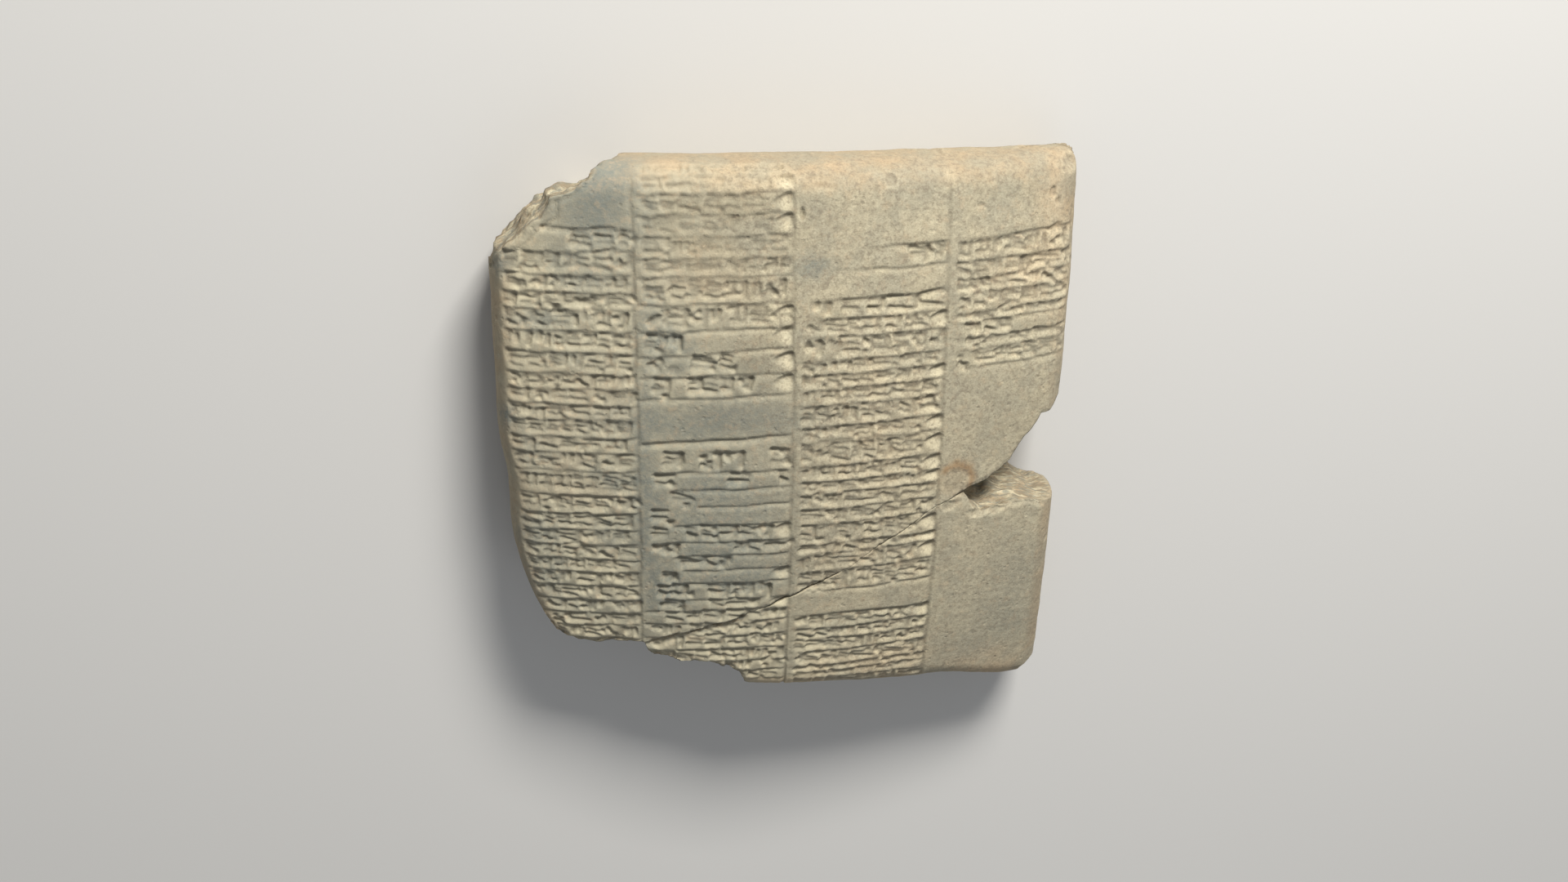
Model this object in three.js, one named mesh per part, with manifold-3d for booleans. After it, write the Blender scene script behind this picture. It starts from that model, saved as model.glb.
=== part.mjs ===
// A four-column cuneiform tablet of baked clay, broken in two and joined again.
// It lies on its flat back with the domed written face up: +X to the right, +Y to the head of the columns,
// +Z out of the face, in millimetres, with the origin under the middle of the whole tablet.
// The left corner at the head is lost, and so are the foot of the first column and a notch at the right
// edge, where the two fragments no longer meet.
import * as THREE from 'three';
import { mergeVertices } from 'three/addons/utils/BufferGeometryUtils.js';
import Module from 'manifold-3d';

const wasm = await Module();
wasm.setup();

// The whole tablet, before it broke.
const WIDTH = 176.6;
const HEIGHT = 185;
const THICKNESS = 42;
const DOME_ACROSS = 12.9; // fall of the face from its middle to the side edges
const DOME_ALONG = 9; // fall of the face from its middle to the head and the foot
const EDGE_ROUNDING = 9; // width of the band that turns from the face to the side
const EDGE_FULLNESS = 3; // exponent of the band's section, 2 for an ellipse
const BACK_ROUNDING = 18; // the same for the back, which is rounder
const BACK_FULLNESS = 2;
const CORNER_FULLNESS = 4.5; // exponent of the corners in plan, 2 for an arc
const GIRTH_SHARE = 0.5; // where the side is widest, as a share of the height there
const HALF_WIDTH = WIDTH / 2;
const HALF_HEIGHT = HEIGHT / 2;

// The left edge is pressed in below the middle and curves in towards the foot. The right edge leans out
// towards the foot, and above the notch it leans out towards the head. The head and foot edges stand in
// from the full height and are not quite level.
const LEFT_INSET = 1;
const LEFT_PRESS = 2;
const LEFT_PRESS_FROM = 0.12; // as shares of half the height
const LEFT_PRESS_TO = -0.1;
const LEFT_CURVE_FROM = -0.2;
const LEFT_CURVE = 0.0052; // a parabola, per millimetre
const RIGHT_LEAN = 0.012; // per millimetre along
const UPPER_RIGHT_LEAN = -0.0148;
const UPPER_RIGHT_INSET = 0.87;
const UPPER_RIGHT_FROM = -0.16; // as shares of half the height
const UPPER_RIGHT_TO = 0.09;
const HEAD_INSET = 1.8;
const HEAD_SLANT = 0.011; // per millimetre across
const FOOT_INSET = 3.4;
const FOOT_SLANT = 0.069;
const FOOT_FLARE = 3.6; // how far the foot edge swings out again at its right end
const FLARE_FROM = 0.57; // as shares of half the width
const FLARE_TO = 0.885;

// The places of columns, rows and breaks are per cent of half the width and of half the height.
const ACROSS = HALF_WIDTH / 100;
const ALONG = HALF_HEIGHT / 100;

// Columns and rulings.
const COLUMN_LINES = [-52.3, -0.7, 51.9].map((x) => x * ACROSS);
const LEFT_STRIP = 7.3; // bare strips of the side edges, outside the writing
const RIGHT_STRIP = 3.4;
const MARGIN = 2.2; // from a column line to the first stroke
const RULING_WIDTH = 0.9;
const RULING_DEPTH = 0.45;
const RULING_STEPS = 2;
const COLUMN_LINE_WIDTH = 1.5;
const COLUMN_LINE_DEPTH = 0.55;
const COLUMN_LINE_STEPS = 8;
const CUT_RISE = 3; // how far a cutter stands above the face

// Strokes: one wedge-shaped notch stands for each sign.
const STROKE_WIDTH = 1.9;
const STROKE_LENGTH = 3.6;
const STROKE_DEPTH = 0.8;
const STROKE_DEEPEST = 0.22; // share of its length from the head to its deepest point
const SIGN_PITCH = 8;
const END_STROKE_WIDTH = 3.4;
const END_STROKE_DEPTH = 1.0;

// The join and the breaks.
const JOIN_GAP = 0.4;
const BREAK_ROUGHNESS = 0.7;
const OUTSIDE = 0.6 * Math.max(WIDTH, HEIGHT); // a reach past every edge
const WORN_CORNER = 0.955; // where a worn corner is cut, as a share of the way to it
const FOOT_CORNER_WEAR = 0.6;
const FOOT_CORNER_RISE = 0.45; // how far the cut looks up, against its looking out either way
const HEAD_CORNER_WEAR = 0.6;
const HEAD_CORNER_RISE = 0.9;

// Meshing of the blank.
const EDGE_INSETS = [0, 0.06, 0.22, 0.5, 1].map((share) => share * EDGE_ROUNDING);
const CELL = 19;
const SHORTEST_EDGE = 0.05;

const CLAY = { color: 0xbba985, roughness: 0.92, metalness: 0 };
const GREY_CLAY = { color: 0xb3a88c, roughness: 0.92, metalness: 0 };

const clamp01 = (t) => Math.min(1, Math.max(0, t));
const smooth = (t) => t * t * (3 - 2 * t);

// A repeatable number from 0 to 1 for a whole number.
function chance(n) {
  const s = Math.sin(n * 12.9898 + 4.1414) * 43758.5453;
  return s - Math.floor(s);
}

// How far the straight edges are from the middle, to either side and to the head or the foot.
function rightReach(y) {
  const lower = HALF_WIDTH - RIGHT_LEAN * y;
  const upper = HALF_WIDTH - UPPER_RIGHT_INSET - UPPER_RIGHT_LEAN * y;
  const share = (y / HALF_HEIGHT - UPPER_RIGHT_FROM) / (UPPER_RIGHT_TO - UPPER_RIGHT_FROM);
  return lower + (upper - lower) * smooth(clamp01(share));
}

function sideReach(x, y) {
  if (x >= 0) return rightReach(y);
  const share = (LEFT_PRESS_FROM - y / HALF_HEIGHT) / (LEFT_PRESS_FROM - LEFT_PRESS_TO);
  const inset = LEFT_INSET + LEFT_PRESS * smooth(clamp01(share));
  return HALF_WIDTH - inset - LEFT_CURVE * Math.min(0, y - LEFT_CURVE_FROM * HALF_HEIGHT) ** 2;
}

function endReach(x, y) {
  if (y >= 0) return HALF_HEIGHT - HEAD_INSET - HEAD_SLANT * x;
  const flare = FOOT_FLARE * smooth(clamp01((x / HALF_WIDTH - FLARE_FROM) / (FLARE_TO - FLARE_FROM)));
  return HALF_HEIGHT - FOOT_INSET - FOOT_SLANT * (HALF_WIDTH - EDGE_ROUNDING - x) + flare;
}

// How far a place is into the band that turns at an edge: 0 on the flat, 1 at the edge.
const bandShare = (edge, place, band) => clamp01(1 - (edge - Math.abs(place)) / band);

// The same at both edges of a rounded corner.
function edgeShare(x, y, band) {
  const across = bandShare(sideReach(x, y), x, band);
  const along = bandShare(endReach(x, y), y, band);
  return Math.min(1, (across ** CORNER_FULLNESS + along ** CORNER_FULLNESS) ** (1 / CORNER_FULLNESS));
}

// How far a rounded corner draws the side in, at a share of the way to the head or the foot.
function cornerInset(share) {
  const band = bandShare(HALF_HEIGHT, share * HALF_HEIGHT, EDGE_ROUNDING);
  return EDGE_ROUNDING * (1 - (1 - band ** CORNER_FULLNESS) ** (1 / CORNER_FULLNESS));
}

const domeHeight = (x, y) =>
  THICKNESS - DOME_ACROSS * (x / HALF_WIDTH) ** 2 - DOME_ALONG * (y / HALF_HEIGHT) ** 2;

const roll = (share, fullness) => (1 - share ** fullness) ** (1 / fullness);

function faceHeight(x, y) {
  const top = domeHeight(x, y);
  const girth = GIRTH_SHARE * top;
  return girth + (top - girth) * roll(edgeShare(x, y, EDGE_ROUNDING), EDGE_FULLNESS);
}

function backHeight(x, y) {
  const girth = GIRTH_SHARE * domeHeight(x, y);
  return girth * (1 - roll(edgeShare(x, y, BACK_ROUNDING), BACK_FULLNESS));
}

// Grid lines across one direction, close together where the edge turns.
function gridLines(half) {
  const inner = half - EDGE_ROUNDING;
  const cells = Math.max(2, Math.round((2 * inner) / CELL));
  const middle = Array.from({ length: cells - 1 }, (_, i) => -inner + (2 * inner * (i + 1)) / cells);
  const low = EDGE_INSETS.map((inset) => -half + inset);
  const high = EDGE_INSETS.map((inset) => half - inset).reverse();
  return [...low, ...middle, ...high];
}

function toSolid(positions, triangles) {
  const geometry = new THREE.BufferGeometry();
  geometry.setAttribute('position', new THREE.Float32BufferAttribute(positions, 3));
  geometry.setIndex(triangles);
  const merged = mergeVertices(geometry, 1e-4);
  const mesh = new wasm.Mesh({
    numProp: 3,
    vertProperties: new Float32Array(merged.attributes.position.array),
    triVerts: new Uint32Array(merged.index.array),
  });
  return new wasm.Manifold(mesh);
}

function toGeometry(solid) {
  const mesh = solid.getMesh();
  const geometry = new THREE.BufferGeometry();
  geometry.setAttribute('position', new THREE.Float32BufferAttribute(Array.from(mesh.vertProperties), 3));
  geometry.setIndex(Array.from(mesh.triVerts));
  geometry.computeVertexNormals();
  return geometry;
}

// The unbroken tablet: a face and a back over one grid, meeting in the widest line of the side.
function makeBlank() {
  const across = gridLines(HALF_WIDTH).map((x) => x / HALF_WIDTH);
  const along = gridLines(HALF_HEIGHT).map((y) => y / HALF_HEIGHT);
  const positions = [];
  const triangles = [];
  const point = (level, i, j) => (level * along.length + j) * across.length + i;
  for (const height of [faceHeight, backHeight]) {
    for (const v of along) {
      for (const u of across) {
        const x = u * (sideReach(u, v * HALF_HEIGHT) - cornerInset(v));
        const y = v * endReach(x, v);
        const onEdge = Math.abs(u) === 1 || Math.abs(v) === 1;
        positions.push(x, y, onEdge ? GIRTH_SHARE * domeHeight(x, y) : height(x, y));
      }
    }
  }
  for (let j = 0; j + 1 < along.length; j += 1) {
    for (let i = 0; i + 1 < across.length; i += 1) {
      const face = [point(0, i, j), point(0, i + 1, j), point(0, i + 1, j + 1), point(0, i, j + 1)];
      const back = [point(1, i, j), point(1, i + 1, j), point(1, i + 1, j + 1), point(1, i, j + 1)];
      triangles.push(face[0], face[1], face[2], face[0], face[2], face[3]);
      triangles.push(back[0], back[2], back[1], back[0], back[3], back[2]);
    }
  }
  return toSolid(positions, triangles);
}

// Heights at which a break is given, from below the back to above the face, and the share of its lean there.
const LEVELS = [-0.07, 0.21, 0.48, 0.74, 1.15].map((share) => share * THICKNESS);
const LEAN_SHARES = [0.9, 1, 0.65, 0, -0.5];
const UNDER_SHARES = [1.1, 0.5, 0, 0, 0];
const DEEP = THICKNESS / 100;
const drawn = ([x, y, lean, under = 0]) => [x * ACROSS, y * ALONG, lean * DEEP, under * DEEP];

// Points of each break on the face, in order along it, as [x, y, lean, under] in per cent. The lean, of the
// thickness, is how far the break stands out of the fragment low down, or is cut in under it below 0. The
// last number is how far it draws in again at the back.
const HEAD_BREAK = [
  [-53.5, 103.8, -7.1, 14], [-60.9, 98.1, -7.1, 17], [-65.7, 93.2, -6, 19], [-71, 89.6, 0, 19],
  [-76.4, 88, 4.8, 19], [-75, 82.6, 12, 14], [-81, 79.6, 10.7, 10], [-87.4, 73.3, 10.7, 10],
  [-94.6, 70.7, 3.6, 10], [-97.6, 64.3, 2.4, 8],
].map(drawn);
const LEFT_FOOT_BREAK = [
  [-89.7, -54.6, -4.8], [-83.8, -60.9, -4.8], [-78.1, -64.4, -4.8], [-70.2, -66.4, -4.8],
  [-64.6, -64.6, -4.8], [-56.6, -65.1, -4.8],
].map(drawn);
const NOTCH_ABOVE = [
  [62.5, -12.3, -4.8], [70.2, -10.1, -6], [78.7, -3.9, -6], [82.9, 2.4, -6], [86.5, 5.7, -6],
  [89.7, 10.9, -6], [93.1, 11.1, -6], [96.5, 14.5, -6],
].map(drawn);
const NOTCH_BELOW = [
  [61.4, -14.3, 0.7], [65, -17.9, 4.8, 4], [69.8, -22.5, 14.3, 7], [74.7, -20.8, 10, 9],
  [86.1, -21, 7, 10], [92.9, -23.4, 5, 10],
].map(drawn);
const TIP_BREAK = [
  [-12.9, -90.8, -4.8], [-16.1, -84.3, -4.8], [-17.4, -79.6, -4.8], [-21.5, -77, -4.8],
  [-30.6, -74.8, -4.8], [-41.3, -72.6, -4.8], [-49.2, -70.7, -4.8],
].map(drawn);
const JOIN = [
  [-51.6, -65.8], [-42.7, -62.6], [-31.7, -60.3], [-18.2, -56], [-4.5, -49.9], [10.5, -43.4],
  [21.5, -37.6], [29.8, -31.6], [40.9, -25.2], [49.3, -18.8], [57.2, -15.6],
].map(drawn);

// The join is the same line on both fragments, moved half the gap towards each.
const joinStart = new THREE.Vector2(...JOIN[0]);
const joinEnd = new THREE.Vector2(...JOIN[JOIN.length - 1]);
const joinAlong = joinEnd.sub(joinStart).normalize();
const joinSide = (towardsFoot) =>
  JOIN.map(([x, y]) => [
    x + (towardsFoot * joinAlong.y * JOIN_GAP) / 2,
    y - (towardsFoot * joinAlong.x * JOIN_GAP) / 2,
  ]);

// A tall prism over a fragment's plan whose sides lean and wander as its breaks do. A point with no lean
// is on the join or outside the tablet, and stays upright.
function breakPrism(outline) {
  const count = outline.length;
  const positions = [];
  const triangles = [];
  LEVELS.forEach((z, level) => {
    outline.forEach(([x, y, lean, under = 0], k) => {
      const before = outline[(k + count - 1) % count];
      const after = outline[(k + 1) % count];
      const along = new THREE.Vector2(after[0] - before[0], after[1] - before[1]).normalize();
      const wander = BREAK_ROUGHNESS * (2 * chance(Math.round(x * 7 + y * 13) + 31 * level) - 1);
      const inside = level > 0 && level < 3;
      const drawnIn = under * UNDER_SHARES[level];
      const out = lean || under ? lean * LEAN_SHARES[level] - drawnIn + (inside ? wander : 0) : 0;
      positions.push(x + along.y * out, y - along.x * out, z);
    });
  });
  for (let level = 0; level + 1 < LEVELS.length; level += 1) {
    for (let k = 0; k < count; k += 1) {
      const next = (k + 1) % count;
      const a = level * count + k;
      const b = level * count + next;
      triangles.push(a, b, b + count, a, b + count, a + count);
    }
  }
  const last = (LEVELS.length - 1) * count;
  const plan = (level) => outline.map((_, k) => {
    const at = 3 * (level * count + k);
    return new THREE.Vector2(positions[at], positions[at + 1]);
  });
  for (const [a, b, c] of THREE.ShapeUtils.triangulateShape(plan(LEVELS.length - 1), [])) {
    triangles.push(last + a, last + b, last + c);
  }
  for (const [a, b, c] of THREE.ShapeUtils.triangulateShape(plan(0), [])) {
    triangles.push(a, c, b);
  }
  return toSolid(positions, triangles);
}

const mainOutline = [
  [OUTSIDE, OUTSIDE],
  [HEAD_BREAK[0][0], OUTSIDE],
  ...HEAD_BREAK,
  [-OUTSIDE, HEAD_BREAK[HEAD_BREAK.length - 1][1]],
  [-OUTSIDE, LEFT_FOOT_BREAK[0][1]],
  ...LEFT_FOOT_BREAK,
  ...joinSide(-1),
  ...NOTCH_ABOVE,
  [OUTSIDE, NOTCH_ABOVE[NOTCH_ABOVE.length - 1][1]],
];
const footOutline = [
  [OUTSIDE, NOTCH_BELOW[NOTCH_BELOW.length - 1][1]],
  ...[...NOTCH_BELOW].reverse(),
  ...joinSide(1).reverse(),
  ...[...TIP_BREAK].reverse(),
  [TIP_BREAK[0][0], -OUTSIDE],
  [OUTSIDE, -OUTSIDE],
];

// One wedge-shaped cutter, the corner of a stylus pressed in: its head is at (x, y), its tail along the turn.
// It comes to a point in the clay and goes straight up from the face.
function strokeCutter(x, y, turn, width, length, depth) {
  const place = (along, across) => [
    x + along * Math.cos(turn) - across * Math.sin(turn),
    y + along * Math.sin(turn) + across * Math.cos(turn),
  ];
  const corners = [place(0, width / 2), place(0, -width / 2), place(length, 0)];
  const deep = place(length * STROKE_DEEPEST, 0);
  const positions = [...deep, faceHeight(...deep) - depth];
  for (const corner of corners) positions.push(...corner, faceHeight(...corner));
  for (const corner of corners) positions.push(...corner, faceHeight(...corner) + CUT_RISE);
  const triangles = [4, 5, 6];
  for (let k = 0; k < 3; k += 1) {
    const a = 1 + k;
    const b = 1 + ((k + 1) % 3);
    triangles.push(a, 0, b, a, b, b + 3, a, b + 3, a + 3);
  }
  return toSolid(positions, triangles);
}

// A V-shaped groove through the points given, each [x, y], following a height. It opens straight up from
// the face, or straight down from the back where up is -1.
function grooveCutter(points, width, depth, heightAt, up) {
  const from = points[0];
  const to = points[points.length - 1];
  const along = new THREE.Vector2(to[0] - from[0], to[1] - from[1]).normalize();
  const half = width / 2;
  const section = [[-half, CUT_RISE], [-half, 0], [0, -depth], [half, 0], [half, CUT_RISE]];
  const sides = section.length;
  const positions = [];
  for (const [x, y] of points) {
    for (const [across, rise] of section) {
      positions.push(x - along.y * across, y + along.x * across, heightAt(x, y) + up * rise);
    }
  }
  const triangles = [];
  const face = (a, b, c) => (up > 0 ? triangles.push(a, b, c) : triangles.push(a, c, b));
  for (let k = 0; k + 1 < points.length; k += 1) {
    for (let side = 0; side < sides; side += 1) {
      const a = sides * k + side;
      const b = sides * k + ((side + 1) % sides);
      face(a, b, b + sides);
      face(a, b + sides, a + sides);
    }
  }
  const end = sides * (points.length - 1);
  for (const [a, b, c] of [[0, 2, 1], [0, 4, 2], [4, 3, 2]]) {
    face(a, b, c);
    face(end + a, end + c, end + b);
  }
  return toSolid(positions, triangles);
}

const spread = (from, to, steps) =>
  Array.from({ length: steps + 1 }, (_, i) => from + ((to - from) * i) / steps);

// Each column from the head down, as bands: the foot of the band, its rows, and the shares of
// the width that carry signs. A band with no rows is bare, and end marks a large last stroke.
const COLUMN_HEAD = 101.6 * ALONG;
const FULL = [[0, 1]];
const COLUMNS = [
  {
    left: -HALF_WIDTH, right: COLUMN_LINES[0],
    bands: [
      { foot: 80 },
      { foot: 47.8, rows: 5, text: FULL },
      { foot: 34.1, rows: 2, text: FULL },
      { foot: 1.1, rows: 6, text: FULL },
      { foot: -7.8, rows: 1, text: FULL },
      { foot: -64.9, rows: 10, text: FULL },
    ],
  },
  {
    left: COLUMN_LINES[0], right: COLUMN_LINES[1],
    bands: [
      { foot: 95.9, rows: 1, text: [] },
      { foot: 77.8, rows: 3, text: FULL, end: true },
      { foot: 56.2, rows: 4, text: FULL },
      { foot: 48.9, rows: 1, text: FULL, end: true },
      { foot: 41.6, rows: 1, text: [[0, 0.3]], end: true },
      { foot: 34.3, rows: 1, text: [[0.3, 0.65]], end: true },
      { foot: 27, rows: 1, text: [[0.05, 0.2], [0.3, 0.8]], end: true },
      { foot: 12.1 },
      { foot: 0.8, rows: 1, text: [[0.12, 0.6]] },
      { foot: -5.8, rows: 1, text: [[0.05, 0.2], [0.6, 0.8]] },
      { foot: -12.4, rows: 1, text: [[0.15, 0.35]], end: true },
      { foot: -19, rows: 1, text: [[0.05, 0.15]], end: true },
      { foot: -24.6, rows: 1, text: [[0.15, 1]] },
      { foot: -30.2, rows: 1, text: [[0.1, 0.2], [0.62, 1]] },
      { foot: -35.8, rows: 1, text: [[0.28, 0.55]], end: true },
      { foot: -41.3, rows: 1, text: [[0.1, 0.22]], end: true },
      { foot: -46.9, rows: 1, text: [[0.1, 0.22], [0.4, 1]] },
      { foot: -52.4, rows: 1, text: [[0.1, 0.3]], end: true },
      { foot: -85.4, rows: 6, text: FULL },
    ],
  },
  {
    left: COLUMN_LINES[1], right: COLUMN_LINES[2],
    bands: [
      { foot: 73.2 },
      { foot: 66.2, rows: 1, text: [[0.7, 1]] },
      { foot: 57.2, rows: 1, text: [] },
      { foot: 27.7, rows: 5, text: FULL },
      { foot: -46.7, rows: 14, text: FULL, end: true },
      { foot: -56.5, rows: 1, text: [] },
      { foot: -88, rows: 6, text: FULL },
    ],
  },
  {
    left: COLUMN_LINES[2], right: HALF_WIDTH,
    bands: [
      { foot: 73.7 },
      { foot: 30.9, rows: 7, text: FULL },
    ],
  },
];

// Calls back for each row of a column with the line above it and the line below it.
function eachRow(column, visit) {
  let head = COLUMN_HEAD;
  for (const band of column.bands) {
    const foot = band.foot * ALONG;
    const step = (head - foot) / (band.rows ?? 1);
    for (let row = 0; row < (band.rows ?? 0); row += 1) {
      visit(head - row * step, head - (row + 1) * step, band);
    }
    head = foot;
  }
}

// Rulings and strokes of the face, as one list of cutters.
function writingCutters() {
  const cutters = [];
  let seed = 1;
  for (const column of COLUMNS) {
    eachRow(column, (above, below, band) => {
      const left = Math.max(column.left, LEFT_STRIP - sideReach(-1, below)) + MARGIN;
      const right = Math.min(column.right, sideReach(1, below) - RIGHT_STRIP) - MARGIN / 2;
      const xs = spread(left, right, RULING_STEPS);
      cutters.push(grooveCutter(xs.map((x) => [x, above]), RULING_WIDTH, RULING_DEPTH, faceHeight, 1));
      const height = above - below;
      for (const [from, to] of band.text) {
        const start = left + (right - left) * from;
        const finish = left + (right - left) * to - (band.end ? END_STROKE_WIDTH * 1.4 : 0);
        const signs = Math.max(1, Math.floor((finish - start) / SIGN_PITCH));
        const pitch = (finish - start) / signs;
        for (let sign = 0; sign < signs; sign += 1) {
          seed += 1;
          const x = start + pitch * (sign + 0.15 + 0.2 * chance(seed));
          const upright = chance(seed + 500) < 0.4;
          const size = 0.85 + 0.3 * chance(seed + 900);
          const y = upright ? above - 0.22 * height : below + height * (0.3 + 0.35 * chance(seed + 70));
          const turn = (upright ? -Math.PI / 2 : 0) + 0.3 * (chance(seed + 300) - 0.5);
          const length = upright ? Math.min(STROKE_LENGTH, 0.66 * height) : STROKE_LENGTH;
          cutters.push(strokeCutter(x, y, turn, STROKE_WIDTH * size, length * size, STROKE_DEPTH));
        }
      }
      if (band.end) {
        const x = right - END_STROKE_WIDTH / 2;
        const length = 0.72 * height;
        cutters.push(
          strokeCutter(x, above - 0.18 * height, -Math.PI / 2, END_STROKE_WIDTH, length, END_STROKE_DEPTH),
        );
      }
    });
  }
  return cutters;
}

// The lines between the columns, on the face and, straight, on the flat of the back.
function columnLineCutters() {
  const flatBack = () => 0;
  const line = (x, inset, steps, heightAt, up) => {
    const points = spread(inset - endReach(x, -1), endReach(x, 1) - inset, steps).map((y) => [x, y]);
    return grooveCutter(points, COLUMN_LINE_WIDTH, COLUMN_LINE_DEPTH, heightAt, up);
  };
  return COLUMN_LINES.flatMap((x) => [
    line(x, EDGE_ROUNDING, COLUMN_LINE_STEPS, faceHeight, 1),
    line(x, 1.4 * BACK_ROUNDING, 1, flatBack, -1),
  ]);
}

// A chip knocked off a corner of the face: a box turned edge-on to the corner.
function cornerChip(x, y, rise, bite) {
  const size = THICKNESS;
  const box = new THREE.BoxGeometry(size, size, size);
  box.deleteAttribute('normal');
  box.deleteAttribute('uv');
  const out = new THREE.Vector3(Math.sign(x), Math.sign(y), rise).normalize();
  const turn = new THREE.Quaternion().setFromUnitVectors(new THREE.Vector3(0, 0, 1), out);
  const corner = new THREE.Vector3(x, y, faceHeight(x, y));
  const centre = corner.addScaledVector(out, size / 2 - bite);
  box.applyQuaternion(turn);
  box.translate(centre.x, centre.y, centre.z);
  return toSolid(Array.from(box.attributes.position.array), Array.from(box.index.array));
}

function makeFragments() {
  const cuts = [...writingCutters(), ...columnLineCutters()];
  const cornerX = HALF_WIDTH * WORN_CORNER;
  const cornerY = (end) => end * endReach(cornerX, end) * WORN_CORNER;
  cuts.push(cornerChip(cornerX, cornerY(-1), FOOT_CORNER_RISE, FOOT_CORNER_WEAR));
  cuts.push(cornerChip(cornerX, cornerY(1), HEAD_CORNER_RISE, HEAD_CORNER_WEAR));
  const carved = makeBlank().subtract(wasm.Manifold.union(cuts));
  return {
    main: carved.intersect(breakPrism(mainOutline)),
    foot: carved.intersect(breakPrism(footOutline)),
  };
}

// Only the largest closed body of a cut is the fragment: loose slivers and hair-thin faces are dropped.
function largest(solid) {
  const bodies = solid.decompose();
  return bodies.sort((a, b) => b.volume() - a.volume())[0].simplify(SHORTEST_EDGE);
}

function makePiece(name, solid, finish) {
  const piece = new THREE.Mesh(toGeometry(largest(solid)), new THREE.MeshStandardMaterial(finish));
  piece.name = name;
  return piece;
}

const fragments = makeFragments();
const tablet = new THREE.Group();
tablet.add(makePiece('main_fragment', fragments.main, CLAY));
tablet.add(makePiece('foot_fragment', fragments.foot, GREY_CLAY));

export default tablet;
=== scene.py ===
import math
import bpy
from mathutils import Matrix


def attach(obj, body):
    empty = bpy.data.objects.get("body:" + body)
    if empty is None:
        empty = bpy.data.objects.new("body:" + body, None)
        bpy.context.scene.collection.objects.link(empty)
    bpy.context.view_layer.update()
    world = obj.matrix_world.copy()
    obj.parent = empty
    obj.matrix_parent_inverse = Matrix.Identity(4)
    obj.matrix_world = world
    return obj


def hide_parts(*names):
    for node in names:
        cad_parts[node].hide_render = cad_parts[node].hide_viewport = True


bl_info = {
    "name": "Cuneiform Tablet",
    "version": (1, 0, 0),
    "blender": (4, 5, 0),
    "location": "3D View > Sidebar > Tablet",
    "description": "Two joined fragments of a thick clay tablet with pressed strokes, and their stage",
    "category": "Object",
}

import bpy
import numpy as np
from bpy.props import FloatProperty, FloatVectorProperty, IntProperty, PointerProperty
from mathutils import Matrix, Vector

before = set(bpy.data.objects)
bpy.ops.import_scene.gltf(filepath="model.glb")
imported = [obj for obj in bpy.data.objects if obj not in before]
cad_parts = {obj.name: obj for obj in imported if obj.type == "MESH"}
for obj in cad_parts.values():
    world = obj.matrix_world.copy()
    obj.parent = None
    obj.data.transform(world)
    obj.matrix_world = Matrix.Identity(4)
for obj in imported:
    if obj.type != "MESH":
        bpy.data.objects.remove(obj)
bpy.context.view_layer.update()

MM = 0.001

# The whole tablet before it broke, in millimetres: x to the right, y to the head, z out of the face.
HALF_WIDTH = 88.3
HALF_HEIGHT = 92.5
THICKNESS = 42
DOME_ACROSS = 12.9
DOME_ALONG = 9
EDGE_ROUNDING = 9
EDGE_FULLNESS = 3
BACK_ROUNDING = 18
BACK_FULLNESS = 2
CORNER_FULLNESS = 4.5
GIRTH_SHARE = 0.5
LEFT_INSET = 1
LEFT_PRESS = 2
LEFT_PRESS_FROM = 0.12
LEFT_PRESS_SPAN = 0.22
LEFT_CURVE_FROM = -18.5
LEFT_CURVE = 0.0052
RIGHT_LEAN = 0.012
UPPER_RIGHT_LEAN = -0.0148
UPPER_RIGHT_INSET = 0.87
UPPER_RIGHT_FROM = -0.16
UPPER_RIGHT_SPAN = 0.25
HEAD_INSET = 1.8
HEAD_SLANT = 0.011
FOOT_INSET = 3.4
FOOT_SLANT = 0.069
FOOT_FLARE = 3.6
FLARE_FROM = 0.57
FLARE_SPAN = 0.315
WORN_CORNER = 0.955
BACK_SHIFT = 1.0  # metres: where the back's marks lie, beside those of the face
SKIN = 0.16  # millimetres that the fired skin lies inside the plain form
LEAST_WEAR = 0.02


def evenly_leaning(lean, *places):
    """A break whose wall leans the same all along and isn't drawn in."""
    return [(x, y, lean, 0.0) for x, y in places]


# Breaks: places on the face, how far the wall leans out below it, and how far it draws in again low down.
HEAD_BREAK = [
    (-47.2, 96.0, -3.0, 6.0), (-53.8, 90.7, -3.0, 7.0), (-58.0, 86.2, -2.2, 8.0), (-62.7, 82.9, 0.8, 8.0),
    (-67.0, 80.9, 3.2, 8.0), (-67.2, 76.6, 6.4, 6.0), (-71.5, 73.6, 6.0, 4.6), (-77.2, 67.8, 5.8, 4.2),
    (-83.5, 65.4, 2.4, 4.2), (-86.2, 59.5, 1.4, 3.4),
]
LEFT_FOOT_BREAK = evenly_leaning(
    -2.0, (-79.2, -50.5), (-74.0, -56.3), (-69.0, -59.6), (-62.0, -61.4), (-57.0, -59.8), (-50.0, -60.2))
NOTCH_ABOVE = evenly_leaning(-2.0, (55.2, -11.4)) + evenly_leaning(
    -2.5, (62.0, -9.3), (69.5, -3.6), (73.2, 2.2), (76.4, 5.3), (79.2, 10.1), (82.2, 10.3), (85.2, 13.4))
NOTCH_BELOW = [
    (54.2, -13.2, 0.3, 0.0), (57.4, -16.6, 2.0, 1.7), (61.6, -20.8, 6.0, 3.0), (66.0, -19.2, 4.2, 3.8),
    (76.0, -19.4, 3.0, 4.2), (82.0, -21.6, 2.1, 4.2),
]
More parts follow.
